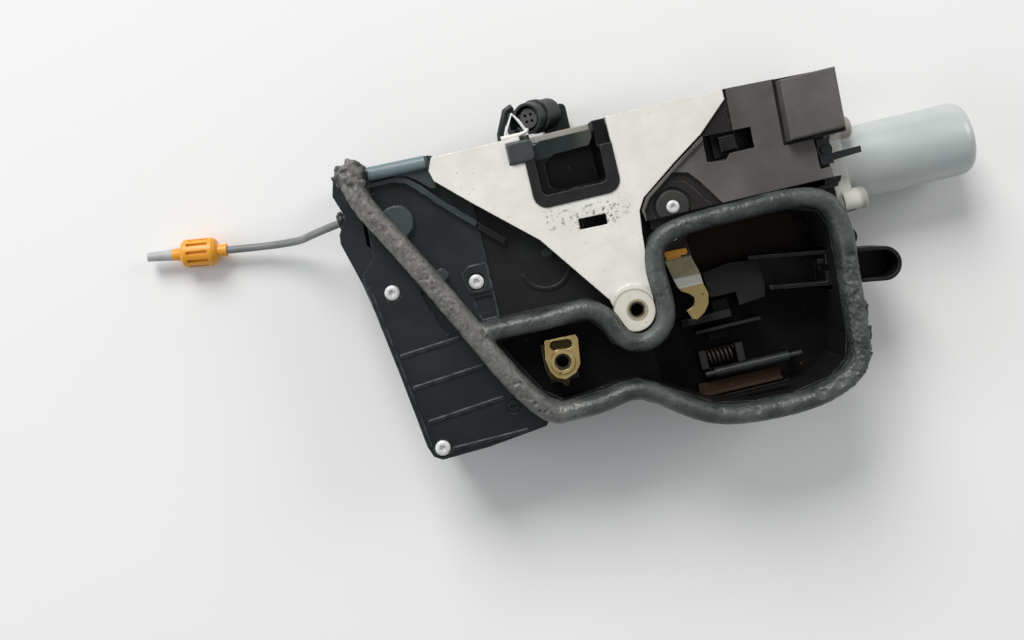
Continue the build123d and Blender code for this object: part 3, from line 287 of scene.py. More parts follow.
# areas: low corner, high corner, softness, tint, share; None leaves that side open
# rings: x, y, inner radius, outer radius, tint, share
# grime: low corner, high corner, softness, tint, noise cut, noise scale
finishes = {
    "plateSteel": {"base": (0.91, 0.895, 0.845), "patch": (0.81, 0.785, 0.715), "patchScale": 75,
                   "rough": 0.42, "roughSpread": 0.10, "metal": 0.25, "edge": (0.33, 0.28, 0.22),
                   "edgeShare": 0.75, "round": 0.55, "grainScale": 1100, "bump": 0.30,
                   "speck": (0.42, 0.38, 0.32), "speckScale": 520, "speckCut": 0.70,
                   "areas": [((-9.5, -8.5, None), (7.5, 7.6, None), 0.8, (0.70, 0.665, 0.57), 0.75),
                             # below z -3 the plate is darkened: painted shade on its bent-down flange
                             ((None, None, None), (None, None, -3), 0.6, (0.30, 0.28, 0.25), 0.8)],
                   "rings": [(-1.0, 0, 7.25, 7.9, (0.36, 0.31, 0.24), 0.75),
                             (*plateHole, 2.4, 3.9, (0.30, 0.235, 0.14), 0.85),
                             (*plateHole, 2.2, 2.9, (0.07, 0.05, 0.03), 0.9)],
                   "grime": [((-25, 34.6, -1), (6, 41.8, 1), 1.8, (0.050, 0.048, 0.046), 0.565, 560),
                             ((-14, 32.6, -1), (1, 38.5, 1), 1.2, (0.060, 0.056, 0.052), 0.545, 640),
                             ((-60, -5, -1), (50, 69, 1), 2.0, (0.20, 0.17, 0.14), 0.72, 420)]},
    "bareSteel": {"base": (0.60, 0.60, 0.59), "patch": (0.46, 0.46, 0.46), "rough": 0.30, "metal": 0.9,
                  "edge": (0.82, 0.82, 0.80), "grainScale": 2200, "bump": 0.15},
    "blackSteel": {"base": (0.020, 0.022, 0.024), "patch": (0.04, 0.043, 0.046), "rough": 0.32, "metal": 0.5,
                   "edge": (0.16, 0.18, 0.19), "grainScale": 2200, "bump": 0.15},
    "darkSteel": {"base": (0.16, 0.135, 0.10), "patch": (0.07, 0.06, 0.05), "rough": 0.35, "metal": 0.8,
                  "grainScale": 2200, "bump": 0.15},
    "zincScrew": {"base": (0.66, 0.67, 0.655), "patch": (0.80, 0.81, 0.80), "patchScale": 260, "rough": 0.42,
                  "metal": 0.3, "edge": (0.86, 0.86, 0.84), "speck": (0.20, 0.17, 0.14), "speckCut": 0.68,
                  "speckScale": 900, "grainScale": 2200, "bump": 0.2},
    "fibre": {"base": (0.16, 0.15, 0.135), "patch": (0.07, 0.065, 0.06), "patchScale": 200, "rough": 0.8,
              "bump": 0.1},
    "springSteel": {"base": (0.045, 0.030, 0.020), "patch": (0.02, 0.015, 0.012), "rough": 0.42,
                    "metal": 0.5, "edge": (0.12, 0.08, 0.05), "grainScale": 2200, "bump": 0.15},
    "satinBlack": {"base": (0.0060, 0.0088, 0.0100), "patch": (0.019, 0.0255, 0.0280), "patchScale": 16,
                   "rough": 0.36, "gloss": 0.38, "round": 0.55, "edge": (0.21, 0.26, 0.275),
                   "edgeShare": 0.8, "speck": (0.11, 0.115, 0.115), "speckCut": 0.765,
                   "grainScale": 1700, "bump": 0.28,
                   # a pale teal band along the rounded ledge: painted highlight
                   "areas": [((-84.5, 66.9, -4.9), (-61, 74, None), 0.5, (0.185, 0.245, 0.26), 0.85),
                             ((-84.5, 58, -7.0), (-59.5, 67.2, -4.2), 0.3, (0.045, 0.056, 0.060), 0.9),
                             ((-84, 44, -5.9), (-70.8, 57, None), 0.25, (0.060, 0.074, 0.082), 0.9),
                             ((None, None, -6.6), (-47, 68, -5.2), 0.2, (0.050, 0.066, 0.071), 0.7)]},
    "panelBlack": {"base": (0.0048, 0.0050, 0.0050), "patch": (0.0125, 0.0130, 0.0130), "patchScale": 22,
                   "rough": 0.45, "gloss": 0.28, "round": 0.45, "edge": (0.16, 0.175, 0.175),
                   "edgeShare": 0.7, "speck": (0.13, 0.12, 0.10), "speckCut": 0.76,
                   "grainScale": 1500, "bump": 0.35,
                   "areas": [((-36, 26, -8.8), (-14, 44, -7.2), 0.3, (0.045, 0.052, 0.052), 0.7)]},
    "wellBlack": {"base": (0.0030, 0.0028, 0.0027), "patch": (0.0080, 0.0068, 0.0060), "patchScale": 60,
                  "rough": 0.50, "gloss": 0.12, "edge": (0.060, 0.052, 0.045), "edgeShare": 0.65,
                  "speck": (0.14, 0.10, 0.07), "speckCut": 0.735, "speckScale": 500,
                  "grainScale": 1200, "bump": 0.4,
                  "areas": [((24, 8, None), (70, 24, -25), 5, (0.038, 0.020, 0.012), 0.9),
                            ((20, None, -22), (52, 8, -19), 1.0, (0.030, 0.030, 0.030), 0.8),
                            ((17, -40, -24), (50, -34.5, -20), 0.6, (0.050, 0.026, 0.016), 0.8),
                            ((None, None, -47.9), (None, -49, None), 0.2, (0.008, 0.0085, 0.009), 0.9)]},
    "fadedBrown": {"base": (0.072, 0.066, 0.061), "patch": (0.135, 0.128, 0.118), "patchScale": 26,
                   "rough": 0.44, "gloss": 0.26, "round": 0.5, "edge": (0.24, 0.22, 0.20),
                   "edgeShare": 0.7, "speck": (0.16, 0.145, 0.13), "speckCut": 0.75,
                   "grainScale": 1500, "bump": 0.35,
                   # below z -1.15 the brown is darkened to near black: painted shade in the recesses and on
                   # the lower housing
                   "areas": [((None, None, -47), (None, None, -1.15), 0.12, (0.010, 0.0085, 0.0080), 0.93)]},
    "discBlack": {"base": (0.020, 0.019, 0.018), "patch": (0.036, 0.035, 0.033), "patchScale": 60,
                  "rough": 0.42, "edge": (0.16, 0.155, 0.15), "edgeShare": 0.8, "speck": (0.15, 0.14, 0.13),
                  "speckCut": 0.74, "bump": 0.3},
    # the bumper's base is lightened in part to stand in for a highlight: painted highlight
    "bumperSlate": {"base": (0.027, 0.031, 0.035), "patch": (0.048, 0.055, 0.060), "rough": 0.38,
                    "round": 0.8, "edge": (0.10, 0.115, 0.125), "bump": 0.2},
    "linerGrey": {"base": (0.010, 0.011, 0.0105), "patch": (0.020, 0.021, 0.020), "patchScale": 90,
                  "rough": 0.38, "gloss": 0.3, "round": 0.7, "edge": (0.115, 0.118, 0.115), "edgeShare": 0.75,
                  "speck": (0.13, 0.125, 0.12), "speckCut": 0.72, "bump": 0.25,
                  # below z -2.2 the liner is darkened to near black: painted shade deep in the mouth
                  "areas": [((None, None, None), (None, None, -2.2), 0.9, (0.0025, 0.0025, 0.0025), 0.95)]},
    "clawCoat": {"base": (0.014, 0.020, 0.020), "patch": (0.026, 0.034, 0.034), "rough": 0.35, "gloss": 0.25,
                 "round": 0.6, "edge": (0.12, 0.14, 0.14), "bump": 0.2,
                 # below y 60.6 the claw is darkened to near black: painted shade inside the mouth
                 "areas": [((None, None, None), (None, 60.6, None), 0.5, (0.0025, 0.0028, 0.0030), 0.97),
                           ((-6.5, 60, None), (None, None, None), 2.4, (0.060, 0.063, 0.050), 0.9)]},
    "sealFoam": {"base": (0.019, 0.026, 0.0255), "patch": (0.080, 0.092, 0.088), "patchScale": 85,
                 "rough": 0.44, "gloss": 0.65, "edge": (0.16, 0.18, 0.175), "edgeShare": 0.25,
                 "speck": (0.008, 0.009, 0.009), "speckCut": 0.66, "speckScale": 620,
                 "grainScale": 560, "bump": 0.75, "depth": 0.34,
                 "dustBase": (0.092, 0.087, 0.078), "dustPatch": (0.165, 0.158, 0.143),
                 "dustPale": (0.27, 0.26, 0.235), "fuzzScale": 900, "fuzzShare": 0.45},
    "yellowZinc": {"base": (0.56, 0.38, 0.12), "patch": (0.70, 0.56, 0.28), "patchScale": 120, "rough": 0.30,
                   "metal": 0.8, "edge": (0.88, 0.80, 0.58), "speck": (0.18, 0.10, 0.03), "speckCut": 0.70,
                   "grainScale": 1600, "bump": 0.2, "round": 0.4,
                   # below z -4.35 the zinc is darkened to near black: painted shade
                   "areas": [((None, None, None), (None, None, -4.35), 0.15, (0.014, 0.008, 0.003), 0.93)],
                   # the hole out to r 3.05 is painted black: painted shade in the nut's hole
                   "rings": [(*nutSpot, -2, 3.05, (0.004, 0.003, 0.002), 0.96),
                             (*nutSpot, 4.2, 4.65, (0.16, 0.11, 0.04), 0.7)]},
    "oliveGold": {"base": (0.22, 0.195, 0.115), "patch": (0.36, 0.32, 0.20), "patchScale": 150, "rough": 0.34,
                  "metal": 0.7, "edge": (0.85, 0.80, 0.66), "speck": (0.12, 0.08, 0.04), "speckCut": 0.68,
                  "grainScale": 1600, "bump": 0.3, "round": 0.4,
                  # beyond y 14 the hook is darkened to near black: painted shade
                  "areas": [((None, 14.0, None), (None, None, None), 0.5, (0.010, 0.009, 0.008), 0.97),
                            # a near-white band across the bend, y 2.9 to 6.7: painted highlight
                            ((None, 2.9, None), (None, 6.7, None), 0.5, (0.86, 0.86, 0.80), 0.9),
                            ((None, None, None), (None, 2.6, None), 0.4, (0.50, 0.36, 0.14), 0.8)]},
    "amberPlastic": {"base": (0.84, 0.365, 0.025), "patch": (0.77, 0.30, 0.016), "rough": 0.35,
                     "edge": (0.98, 0.60, 0.16), "edgeShare": 0.5, "bump": 0.12, "grainScale": 900},
    "motorGrey": {"base": (0.46, 0.505, 0.50), "patch": (0.58, 0.615, 0.60), "patchScale": 18, "rough": 0.42,
                  "metal": 0.25, "edge": (0.60, 0.64, 0.64), "grainScale": 2600, "bump": 0.25,
                  "speck": (0.22, 0.24, 0.24), "speckScale": 75, "speckCut": 0.72},
    "creamPlastic": {"base": (0.72, 0.71, 0.65), "patch": (0.82, 0.81, 0.76), "patchScale": 70, "rough": 0.5,
                     "edge": (0.88, 0.87, 0.82), "bump": 0.2, "speck": (0.33, 0.28, 0.21),
                     "speckScale": 260, "speckCut": 0.68,
                     # darker right ends of the upper and lower pegs: painted shade, with some dirt on the
                     # upper one
                     "areas": [((89, 42, None), (None, None, None), 0.8, (0.30, 0.27, 0.22), 0.8),
                               ((91.2, None, None), (None, 30, None), 0.8, (0.36, 0.33, 0.28), 0.8)]},
    "ductGrey": {"base": (0.0045, 0.0045, 0.0045), "patch": (0.012, 0.0115, 0.011), "patchScale": 70,
                 "rough": 0.42, "gloss": 0.3, "round": 0.5, "edge": (0.13, 0.13, 0.125), "edgeShare": 0.9,
                 "speck": (0.16, 0.13, 0.10), "speckCut": 0.72, "bump": 0.35},
    "tipGrey": {"base": (0.36, 0.37, 0.37), "patch": (0.50, 0.51, 0.50), "patchScale": 120, "rough": 0.5,
                "edge": (0.62, 0.63, 0.62), "bump": 0.2},
    "insertGrey": {"base": (0.055, 0.057, 0.058), "patch": (0.09, 0.092, 0.092), "patchScale": 150,
                   "rough": 0.45, "edge": (0.20, 0.20, 0.20), "bump": 0.2},
    "cableGrey": {"base": (0.165, 0.175, 0.175), "patch": (0.24, 0.25, 0.25), "patchScale": 90, "rough": 0.42,
                  "grainScale": 1400, "bump": 0.2, "speck": (0.08, 0.08, 0.08), "speckCut": 0.70},
    "whitePlastic": {"base": (0.80, 0.81, 0.80), "patch": (0.70, 0.71, 0.70), "rough": 0.45, "bump": 0.15,
                     "edge": (0.88, 0.88, 0.87)},
}
finish = {name: makeFinish(name, look) for name, look in finishes.items()}

# which node wears which finish
wears = {
    "plateSteel": ["latch_plate"],
    "darkSteel": ["thread_collar"],
    "bareSteel": ["claw_pin", "pawl_pin", "cover_screws", "disc_rivet", "wheel_pin", "release_pin",
                  "motor_rotor", "lever_pin", "pawl"],
    "blackSteel": ["lock_pin", "guide_rod", "corner_screw", "lock_lever"],
    "springSteel": ["claw_spring", "return_spring"],
    "satinBlack": ["left_housing", "left_cover", "plug_body", "cable_gland", "cable_lever", "plug_clip"],
    "panelBlack": ["main_housing", "cavity_wall", "nut_seat"],
    "wellBlack": ["housing_base"],
    "fadedBrown": ["actuator_housing", "actuator_cover", "housing_cap"],
    "discBlack": ["rivet_disc"],
    "bumperSlate": ["striker_bumper"],
    "linerGrey": ["mouth_liner"],
    "clawCoat": ["claw"],
    "sealFoam": ["seal_loop", "seal_strip"],
    "yellowZinc": ["fixing_nut", "nut_plate"],
    "oliveGold": ["release_hook"],
    "amberPlastic": ["cable_coupling", "release_tab"],
    "motorGrey": ["motor_can"],
    "creamPlastic": ["motor_carrier", "carrier_pegs", "drive_wheel"],
    "ductGrey": ["cable_duct", "child_lock_slider", "slider_guide"],
    "tipGrey": ["cable_tip"],
    "insertGrey": ["plug_insert"],
    "cableGrey": ["release_cable"],
}
for name, members in wears.items():
    for node in members:
        if not cad[node].material_slots:
            cad[node].data.materials.append(finish[name])
        for slot in cad[node].material_slots:
            slot.material = finish[name]
print("finishes laid on the CAD nodes")


# helpers for the pieces that are built here
def clamp(value):
    return max(0.0, min(1.0, value))


def toMesh(name, bm, outward=True):
    if outward:
        bmesh.ops.recalc_face_normals(bm, faces=bm.faces)
    mesh = bpy.data.meshes.new(name)
    bm.to_mesh(mesh)
    bm.free()
    return mesh


def settleMesh(name, helper):
    depsgraph = bpy.context.evaluated_depsgraph_get()
    mesh = bpy.data.meshes.new_from_object(helper.evaluated_get(depsgraph))
    mesh.name = name
    bpy.data.objects.remove(helper)
    return mesh


def layMesh(name, mesh, finishName, crease=None):
    piece = showObject(name, mesh)
    mesh.materials.clear()
    mesh.materials.append(finish[finishName])
    for face in mesh.polygons:
        face.use_smooth = True
    if crease is not None:
        mesh.set_sharp_from_angle(angle=math.radians(crease))
    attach(piece, "base")
    return piece


def joinRings(bm, low, high):
    count = len(low)
    for k in range(count):
        n = (k + 1) % count
        if len(high) == 1:
            bm.faces.new((low[k], low[n], high[0]))
        else:
            bm.faces.new((low[k], low[n], high[n], high[k]))


def layCurve(name, kind, path, radius, roundness):
    curve = bpy.data.curves.new(name, "CURVE")
    curve.dimensions = "3D"
    curve.bevel_depth = radius * mm
    curve.bevel_resolution = roundness
    spline = curve.splines.new(kind)
    spline.points.add(len(path) - 1)
    for point, place in zip(spline.points, path):
        point.co = (*[v * mm for v in place], 1)
    return showObject(name, curve)


# the foam seal: loop and strip run into each other, scuffed and torn
seal = {"voxel": 0.42, "swell": 0.2, "soften": 3,
        "stripLine": [(-89.6, 73.2), (-87.4, 60), (-81.2, 48.1), (-71.8, 30.7), (-62.4, 12.4),
                      (-53.8, -5), (-46.2, -18.8), (-41.2, -25.4), (-37.4, -28.8), (-30, -30)],
        # torn flaps: root x, y, z, heading in degrees, length, width
        "flaps": [(79.4, -17.0, -1.2, 8, 1.0, 7.0), (77.4, -32.0, -1.6, -25, 1.3, 6.0),
                  (70.0, -41.0, -2.2, -60, 1.2, 7.0), (60.0, -46.0, -2.2, -80, 0.9, 8.0),
                  (-86.0, 72.6, 0.0, 70, 2.2, 4.0), (-93.0, 69.6, 0.5, 160, 2.6, 3.6),
                  (-92.2, 73.0, 1.0, 120, 1.8, 3.4)],
        # matted lumps at the torn end: x, y, z, radius
        "clumps": [(-91.6, 71.8, -0.5, 2.7), (-88.2, 73.6, 0.2, 2.5), (-85.6, 71.0, -0.8, 2.6),
                   (-93.2, 68.6, -1.5, 2.0), (-86.2, 67.0, -1.0, 2.3), (-89.6, 69.5, 1.2, 2.4)],
        "clumpUneven": 0.35, "clumpScale": 0.5,
        # gouges: x, y, z, radius, depth
        "gouges": [(64.0, -41.5, 3.0, 2.0, 1.0), (70.0, -38.5, 3.2, 1.6, 0.9), (76.8, -12.0, 3.4, 1.5, 1.0),
                   (57.0, -44.0, 2.6, 2.4, 1.0), (33.0, -44.0, 3.0, 1.4, 0.8), (21.0, -41.0, 3.2, 1.2, 0.8),
                   (78.2, 1.5, 3.0, 1.6, 0.9), (-43.0, -24.0, 2.6, 1.0, 0.9), (-48.6, -15.5, 2.6, 0.9, 0.8),
                   (-40.0, -27.6, 2.4, 0.9, 0.8), (-89.0, 66.0, 2.2, 1.5, 1.3), (-84.6, 55.0, 2.6, 0.9, 0.7),
                   (-70.4, 28.0, 2.6, 0.8, 0.6), (-91.0, 71.5, 1.8, 1.3, 1.2), (24.0, 25.6, 3.2, 1.0, 0.5)]}
# a flap narrows towards its tip and lifts off; its root is buried; stations are shares of its length
flap = {"thick": 0.9, "lift": 1.4, "buried": 2.0, "narrows": 0.75, "ragged": 0.5, "raggedScale": 0.9,
        "stations": (0.0, 0.35, 0.7, 1.0)}
# pale dust on the strip: it stops beside the strip and at endX, and thins towards the lower end
dust = {"half": 4.9, "wander": 1.2, "soft": 1.6, "endX": -27, "endWander": 6, "endSoft": 8,
        "least": 0.45, "lowY": -20, "overY": 40, "wanderScale": 0.16}
# the skin's lumps and grain, the frayed top left end, and the worn right side with noise height, scale
skin = {"lump": 0.20, "lumpScale": 0.35, "grain": 0.10, "grainScale": 1.3,
        "frayFrom": 60.0, "frayOver": 10, "frayLeftOf": -80, "frayLump": 0.6,
        "wornFrom": 55, "wornOver": 15, "wornBelow": 4, "wornFade": 8,
        "wornCoarse": (0.5, 0.8), "wornFine": (0.25, 2.1),
        "scuffAbove": -3.5, "scuffScale": 0.55, "scuffShift": (31, 7, 3), "scuffCut": 0.33, "scuffDeep": 0.55}


def nearLine(x, y, line):
    nearest = math.inf
    for (ax, ay), (bx, by) in zip(line, line[1:]):
        dx, dy = bx - ax, by - ay
        t = clamp(((x - ax) * dx + (y - ay) * dy) / (dx * dx + dy * dy))
        nearest = min(nearest, math.hypot(x - ax - t * dx, y - ay - t * dy))
    return nearest


def tornFlap(bm, x, y, z, heading, length, width, thick=flap["thick"], lift=flap["lift"]):
    out = Vector((math.cos(math.radians(heading)), math.sin(math.radians(heading)), 0))
    side = Vector((-out.y, out.x, 0))
    root = Vector((x, y, z)) - out * flap["buried"]
    rows = []
    for t in flap["stations"]:
        middle = root + out * (flap["buried"] + length) * t + Vector((0, 0, lift * t * t))
        ragged = 1 + flap["ragged"] * noise.noise(middle * flap["raggedScale"])
        half = width / 2 * (1.0 - flap["narrows"] * t * t) * ragged
        rows.append([bm.verts.new((middle + side * a * half + Vector((0, 0, b * (thick / 2)))) * mm)
                     for a, b in ((-1, -1), (1, -1), (1, 1), (-1, 1))])
    for low, high in zip(rows, rows[1:]):
        joinRings(bm, low, high)
    bm.faces.new(rows[0][::-1])
    bm.faces.new(rows[-1])


def mattedClump(bm, x, y, z, radius):
    ball = bmesh.ops.create_icosphere(bm, subdivisions=3, radius=radius * mm)
    for vertex in ball["verts"]:
        uneven = noise.noise(vertex.co / mm * seal["clumpScale"] + Vector((x, y, z)))
        vertex.co = vertex.co * (1 + seal["clumpUneven"] * uneven) + Vector((x, y, z)) * mm


def fusedSeal():
    bm = bmesh.new()
    for node in ("seal_loop", "seal_strip"):
        bm.from_mesh(cad[node].data)
    for row in seal["flaps"]:
        tornFlap(bm, *row)
    for row in seal["clumps"]:
        mattedClump(bm, *row)
    helper = showObject("sealRough", toMesh("sealRough", bm, outward=False))
    swell = helper.modifiers.new("swell", "DISPLACE")
    swell.strength = seal["swell"] * mm
    swell.mid_level = 0
    remesh = helper.modifiers.new("remesh", "REMESH")
    remesh.mode = "VOXEL"
    remesh.voxel_size = seal["voxel"] * mm
    shrink = helper.modifiers.new("shrink", "DISPLACE")
    shrink.strength = -seal["swell"] * mm
    shrink.mid_level = 0
    soften = helper.modifiers.new("soften", "SMOOTH")
    soften.iterations = seal["soften"]
    return settleMesh("foamSeal", helper)


def dustShare(place):
    near = nearLine(place.x, place.y, seal["stripLine"])
    wander = noise.noise(place * dust["wanderScale"])
    share = clamp((dust["half"] - near + dust["wander"] * wander) / dust["soft"])
    share *= clamp((dust["endX"] + dust["endWander"] * wander - place.x) / dust["endSoft"])
    share *= dust["least"] + (1 - dust["least"]) * clamp((place.y - dust["lowY"]) / dust["overY"])
    return share


def skinPush(place, dusty):
    fray = clamp((place.y - skin["frayFrom"]) / skin["frayOver"]) if place.x < skin["frayLeftOf"] else 0.0
    lump = skin["lump"] * (0.5 + dusty) + skin["frayLump"] * fray
    push = noise.noise(place * skin["lumpScale"]) * lump
    push += noise.noise(place * skin["grainScale"]) * skin["grain"] * (1 + 2 * fray)
    worn = clamp((place.x - skin["wornFrom"]) / skin["wornOver"])
    worn *= clamp((skin["wornBelow"] - place.y) / skin["wornFade"])
    push += worn * sum(height * noise.noise(place * scale)
                       for height, scale in (skin["wornCoarse"], skin["wornFine"]))
    if place.z > skin["scuffAbove"]:
        scuff = noise.noise(place * skin["scuffScale"] + Vector(skin["scuffShift"]))
        push -= skin["scuffDeep"] * max(0.0, scuff - skin["scuffCut"]) * (1 + dusty)
    for x, y, z, radius, depth in seal["gouges"]:
        away = (place - Vector((x, y, z))).length
        if away < radius:
            push -= depth * (1 - (away / radius) ** 2)
    return push


def addSeal():
    mesh = fusedSeal()
    dusted = mesh.attributes.new("dust", "FLOAT", "POINT")
    normals = [vertex.normal.copy() for vertex in mesh.vertices]  # read before any point moves
    for vertex, mark, normal in zip(mesh.vertices, dusted.data, normals):
        place = vertex.co / mm
        dusty = dustShare(place)
        mark.value = dusty
        vertex.co = (place + normal * skinPush(place, dusty)) * mm
    piece = layMesh("foamSeal", mesh, "sealFoam")
    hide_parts("seal_loop", "seal_strip")


# thin skins peeled off the seal's outer side: root x, y, z, heading, length, width, lift
skins = {"thick": 0.35, "crumple": 0.5, "crumpleScale": 0.9, "crumpleSeed": 1795467237, "cuts": 2,
         "rows": [(79.9, 3.5, 0.6, 60, 1.2, 2.4, 0.6), (79.0, -20.5, 0.0, 72, 4.2, 2.0, 1.2),
                  (78.4, -27.0, 0.4, 66, 3.0, 2.4, 0.8), (76.5, -34.5, -0.4, 12, 1.8, 4.0, 0.6),
                  (71.0, -40.5, -0.4, -55, 1.8, 4.0, 0.2), (64.0, -44.6, 0.4, -50, 1.4, 3.6, 0.4)]}


def addSkins():
    bm = bmesh.new()
    for x, y, z, heading, length, width, lift in skins["rows"]:
        tornFlap(bm, x, y, z, heading, length, width, skins["thick"], lift)
    bmesh.ops.subdivide_edges(bm, edges=bm.edges, cuts=skins["cuts"], use_grid_fill=True)
    noise.seed_set(skins["crumpleSeed"])  # noise_vector takes its seed from the clock otherwise
    for vertex in bm.verts:
        place = vertex.co / mm
        crumple = noise.noise_vector(place * skins["crumpleScale"]) * skins["crumple"]
        vertex.co = (place + crumple) * mm
    layMesh("peeledSkins", toMesh("peeledSkins", bm), "sealFoam")


# fibres standing out of the torn end, then shorter ones along the strip's edges
fibres = {"count": 60, "tornShare": 0.6, "seed": 11, "radius": 0.11, "thins": 0.15, "knots": 6,
          "corners": (0, 2.094, 4.189), "long": (1.5, 4.0), "tornReach": (0, 0.10), "edgeReach": (0.05, 0.95),
          "aside": (1.5, 3.6), "rootZ": (-1.0, 2.0), "sway": (-0.7, 0.7), "rise": (-0.2, 1.0),
          "tilt": (-0.1, 0.5), "edgeRise": 0.3, "edgeLength": 0.5, "curl": 0.35,
          "bend": ((-0.5, 0.5), (-0.5, 0.5), (-0.4, 0.2))}


def stripSpot(t):
    line = seal["stripLine"]
    spot = t * (len(line) - 1)
    i = min(int(spot), len(line) - 2)
    a, b = Vector(line[i]), Vector(line[i + 1])
    return a.lerp(b, spot - i), (b - a).normalized()


def growFibre(bm, place, heading, step, bend):
    rings = []
    for n in range(fibres["knots"]):
        radius = fibres["radius"] * (1 + fibres["thins"] - fibres["thins"] * n)
        across = heading.orthogonal().normalized()
        other = heading.cross(across)
        rings.append([bm.verts.new((place + (across * math.cos(q) + other * math.sin(q)) * radius) * mm)
                      for q in fibres["corners"]])
        place = place + heading * step
        heading = (heading + bend * fibres["curl"]).normalized()
    for low, high in zip(rings, rings[1:]):
        joinRings(bm, low, high)
    bm.faces.new(rings[0][::-1])
    bm.faces.new(rings[-1])


def addFibres():
    draw = random.Random(fibres["seed"])
    bm = bmesh.new()
    for k in range(fibres["count"]):
        torn = k < fibres["count"] * fibres["tornShare"]
        middle, run = stripSpot(draw.uniform(*fibres["tornReach" if torn else "edgeReach"]))
        side = Vector((-run.y, run.x)) * draw.choice((-1, 1))
        root = middle + side * draw.uniform(*fibres["aside"])
        place = Vector((root.x, root.y, draw.uniform(*fibres["rootZ"])))
        sway = draw.uniform(*fibres["sway"])
        rise = draw.uniform(*fibres["rise"]) * (1 if torn else fibres["edgeRise"])
        heading = Vector((side.x + sway, side.y + rise, draw.uniform(*fibres["tilt"]))).normalized()
        step = draw.uniform(*fibres["long"]) * (1.0 if torn else fibres["edgeLength"]) / (fibres["knots"] - 1)
        bend = Vector([draw.uniform(*span) for span in fibres["bend"]])
        growFibre(bm, place, heading, step, bend)
    layMesh("strayFibres", toMesh("strayFibres", bm, outward=False), "fibre")


addSeal()
addSkins()
addFibres()
print("seal laid")


# pan heads with a six-lobe recess
# a set is piece, replaced node, seat z, radius, height and spots, each x, y, turn
screws = {"steps": 72, "shank": 1.5, "shankDeep": 7, "crease": 35, "drawnRadius": 2.85, "flat": 1.9,
          "lobes": 6, "lobeOut": 1.28, "lobeIn": 0.92, "lobeSwell": 0.8, "recessDeep": 1.15,
          "recessFloor": 0.86, "recessLip": [(1.0, -0.12), (1.07, 0.0)],
          "dome": [(0.84, -0.16), (0.95, -0.42), (1.0, -0.85)],
          "sets": [("coverScrews", "cover_screws", -8.8, 2.85, 1.75,
                    [(-84.7, 25.8, 20), (-53.9, 22.7, 55), (-79.7, -33.4, 5)]),
                   ("discScrew", "disc_rivet", -1.7, 2.4, 2.4, [(20.9, 33.0, 12)])]}


def headProfile(radius, high):
    scale = radius / screws["drawnRadius"]
    floor = -screws["recessDeep"] * scale
    end = -high - screws["shankDeep"]
    profile = [("lobe", 0.0, floor), ("lobe", screws["recessFloor"], floor)]
    profile += [("lobe", share, drop) for share, drop in screws["recessLip"]]
    profile += [("round", screws["flat"] * scale, 0.0)]
    profile += [("round", radius * share, drop) for share, drop in screws["dome"]]
    profile += [("round", radius, -high), ("round", screws["shank"], -high)]
    return profile + [("round", screws["shank"], end), ("round", 0.0, end)]


def lobeReach(size, scale, angle):
    wave = 0.5 + 0.5 * math.cos(screws["lobes"] * angle)
    swell = (screws["lobeOut"] - screws["lobeIn"]) * wave ** screws["lobeSwell"]
    return size * scale * (screws["lobeIn"] + swell)


def panHead(bm, x, y, turn, seat, radius, high):
    steps = screws["steps"]
    scale = radius / screws["drawnRadius"]
    rings = []
    for kind, size, drop in headProfile(radius, high):
        z = seat + high + drop
        if size == 0.0:
            rings.append([bm.verts.new((x * mm, y * mm, z * mm))])
            continue
        ring = []
        for k in range(steps):
            angle = 2 * math.pi * k / steps
            reach = lobeReach(size, scale, angle) if kind == "lobe" else size
            spin = angle + math.radians(turn)
            place = (x + reach * math.cos(spin), y + reach * math.sin(spin), z)
            ring.append(bm.verts.new([v * mm for v in place]))
        rings.append(ring)
    for inner, outer in zip(rings, rings[1:]):
        for k in range(steps):
            n = (k + 1) % steps
            if len(inner) == 1:
                bm.faces.new((inner[0], outer[k], outer[n]))
            elif len(outer) == 1:
                bm.faces.new((inner[k], outer[0], inner[n]))
            else:
                bm.faces.new((inner[k], outer[k], outer[n], inner[n]))


def addScrews():
    for name, node, seat, radius, high, spots in screws["sets"]:
        bm = bmesh.new()
        for x, y, turn in spots:
            panHead(bm, x, y, turn, seat, radius, high)
        piece = layMesh(name, toMesh(name, bm), "zincScrew", screws["crease"])
        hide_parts(node)


# thread ridges in the plate's hole and the yellow nut
# a hole is piece, finish, slot, x, y, low z, high z, radius
threads = {"pitch": 1.0, "ridge": 0.32, "half": 0.42, "buried": 0.02, "steps": 40, "crease": 40,
           "holes": [("plateThread", "darkSteel", "plate_steel", *plateHole, -11.6, 0.0, 2.5),
                     ("nutThread", "yellowZinc", "yellow_zinc", *nutSpot, -11.6, -2.2, 2.5)]}


def threadRidge(name, finishName, slot, x, y, low, high, radius):
    root = radius + threads["buried"]
    section = ((root, -threads["half"]), (radius - threads["ridge"], 0.0), (root, threads["half"]))
    turns = (high - low) / threads["pitch"] - 1
    bm = bmesh.new()
    rows = []
    for k in range(int(turns * threads["steps"]) + 1):
        angle = 2 * math.pi * k / threads["steps"]
        z = low + threads["pitch"] * (0.5 + k / threads["steps"])
        row = [(x + r * math.cos(angle), y + r * math.sin(angle), z + dz) for r, dz in section]
        rows.append([bm.verts.new([v * mm for v in place]) for place in row])
    for a, b in zip(rows, rows[1:]):
        joinRings(bm, a, b)
    bm.faces.new(rows[0][::-1])
    bm.faces.new(rows[-1])
    layMesh(name, toMesh(name, bm), finishName, threads["crease"])


# the motor's drawn can: one smooth skin with a domed end, turned from x, radius
motor = {"y": 33.0, "z": -32.0, "steps": 96, "crease": 40,
         "profile": [(89.0, 4.3), (89.0, 13.4), (89.6, 14.0), (104.0, 14.0), (136.0, 14.0), (137.6, 13.8),
                     (138.9, 13.2), (139.9, 12.2), (140.4, 10.8), (140.5, 9.0), (140.5, 4.9), (140.9, 4.5),
                     (141.5, 4.3), (141.7, 3.6), (141.7, 0.0)]}


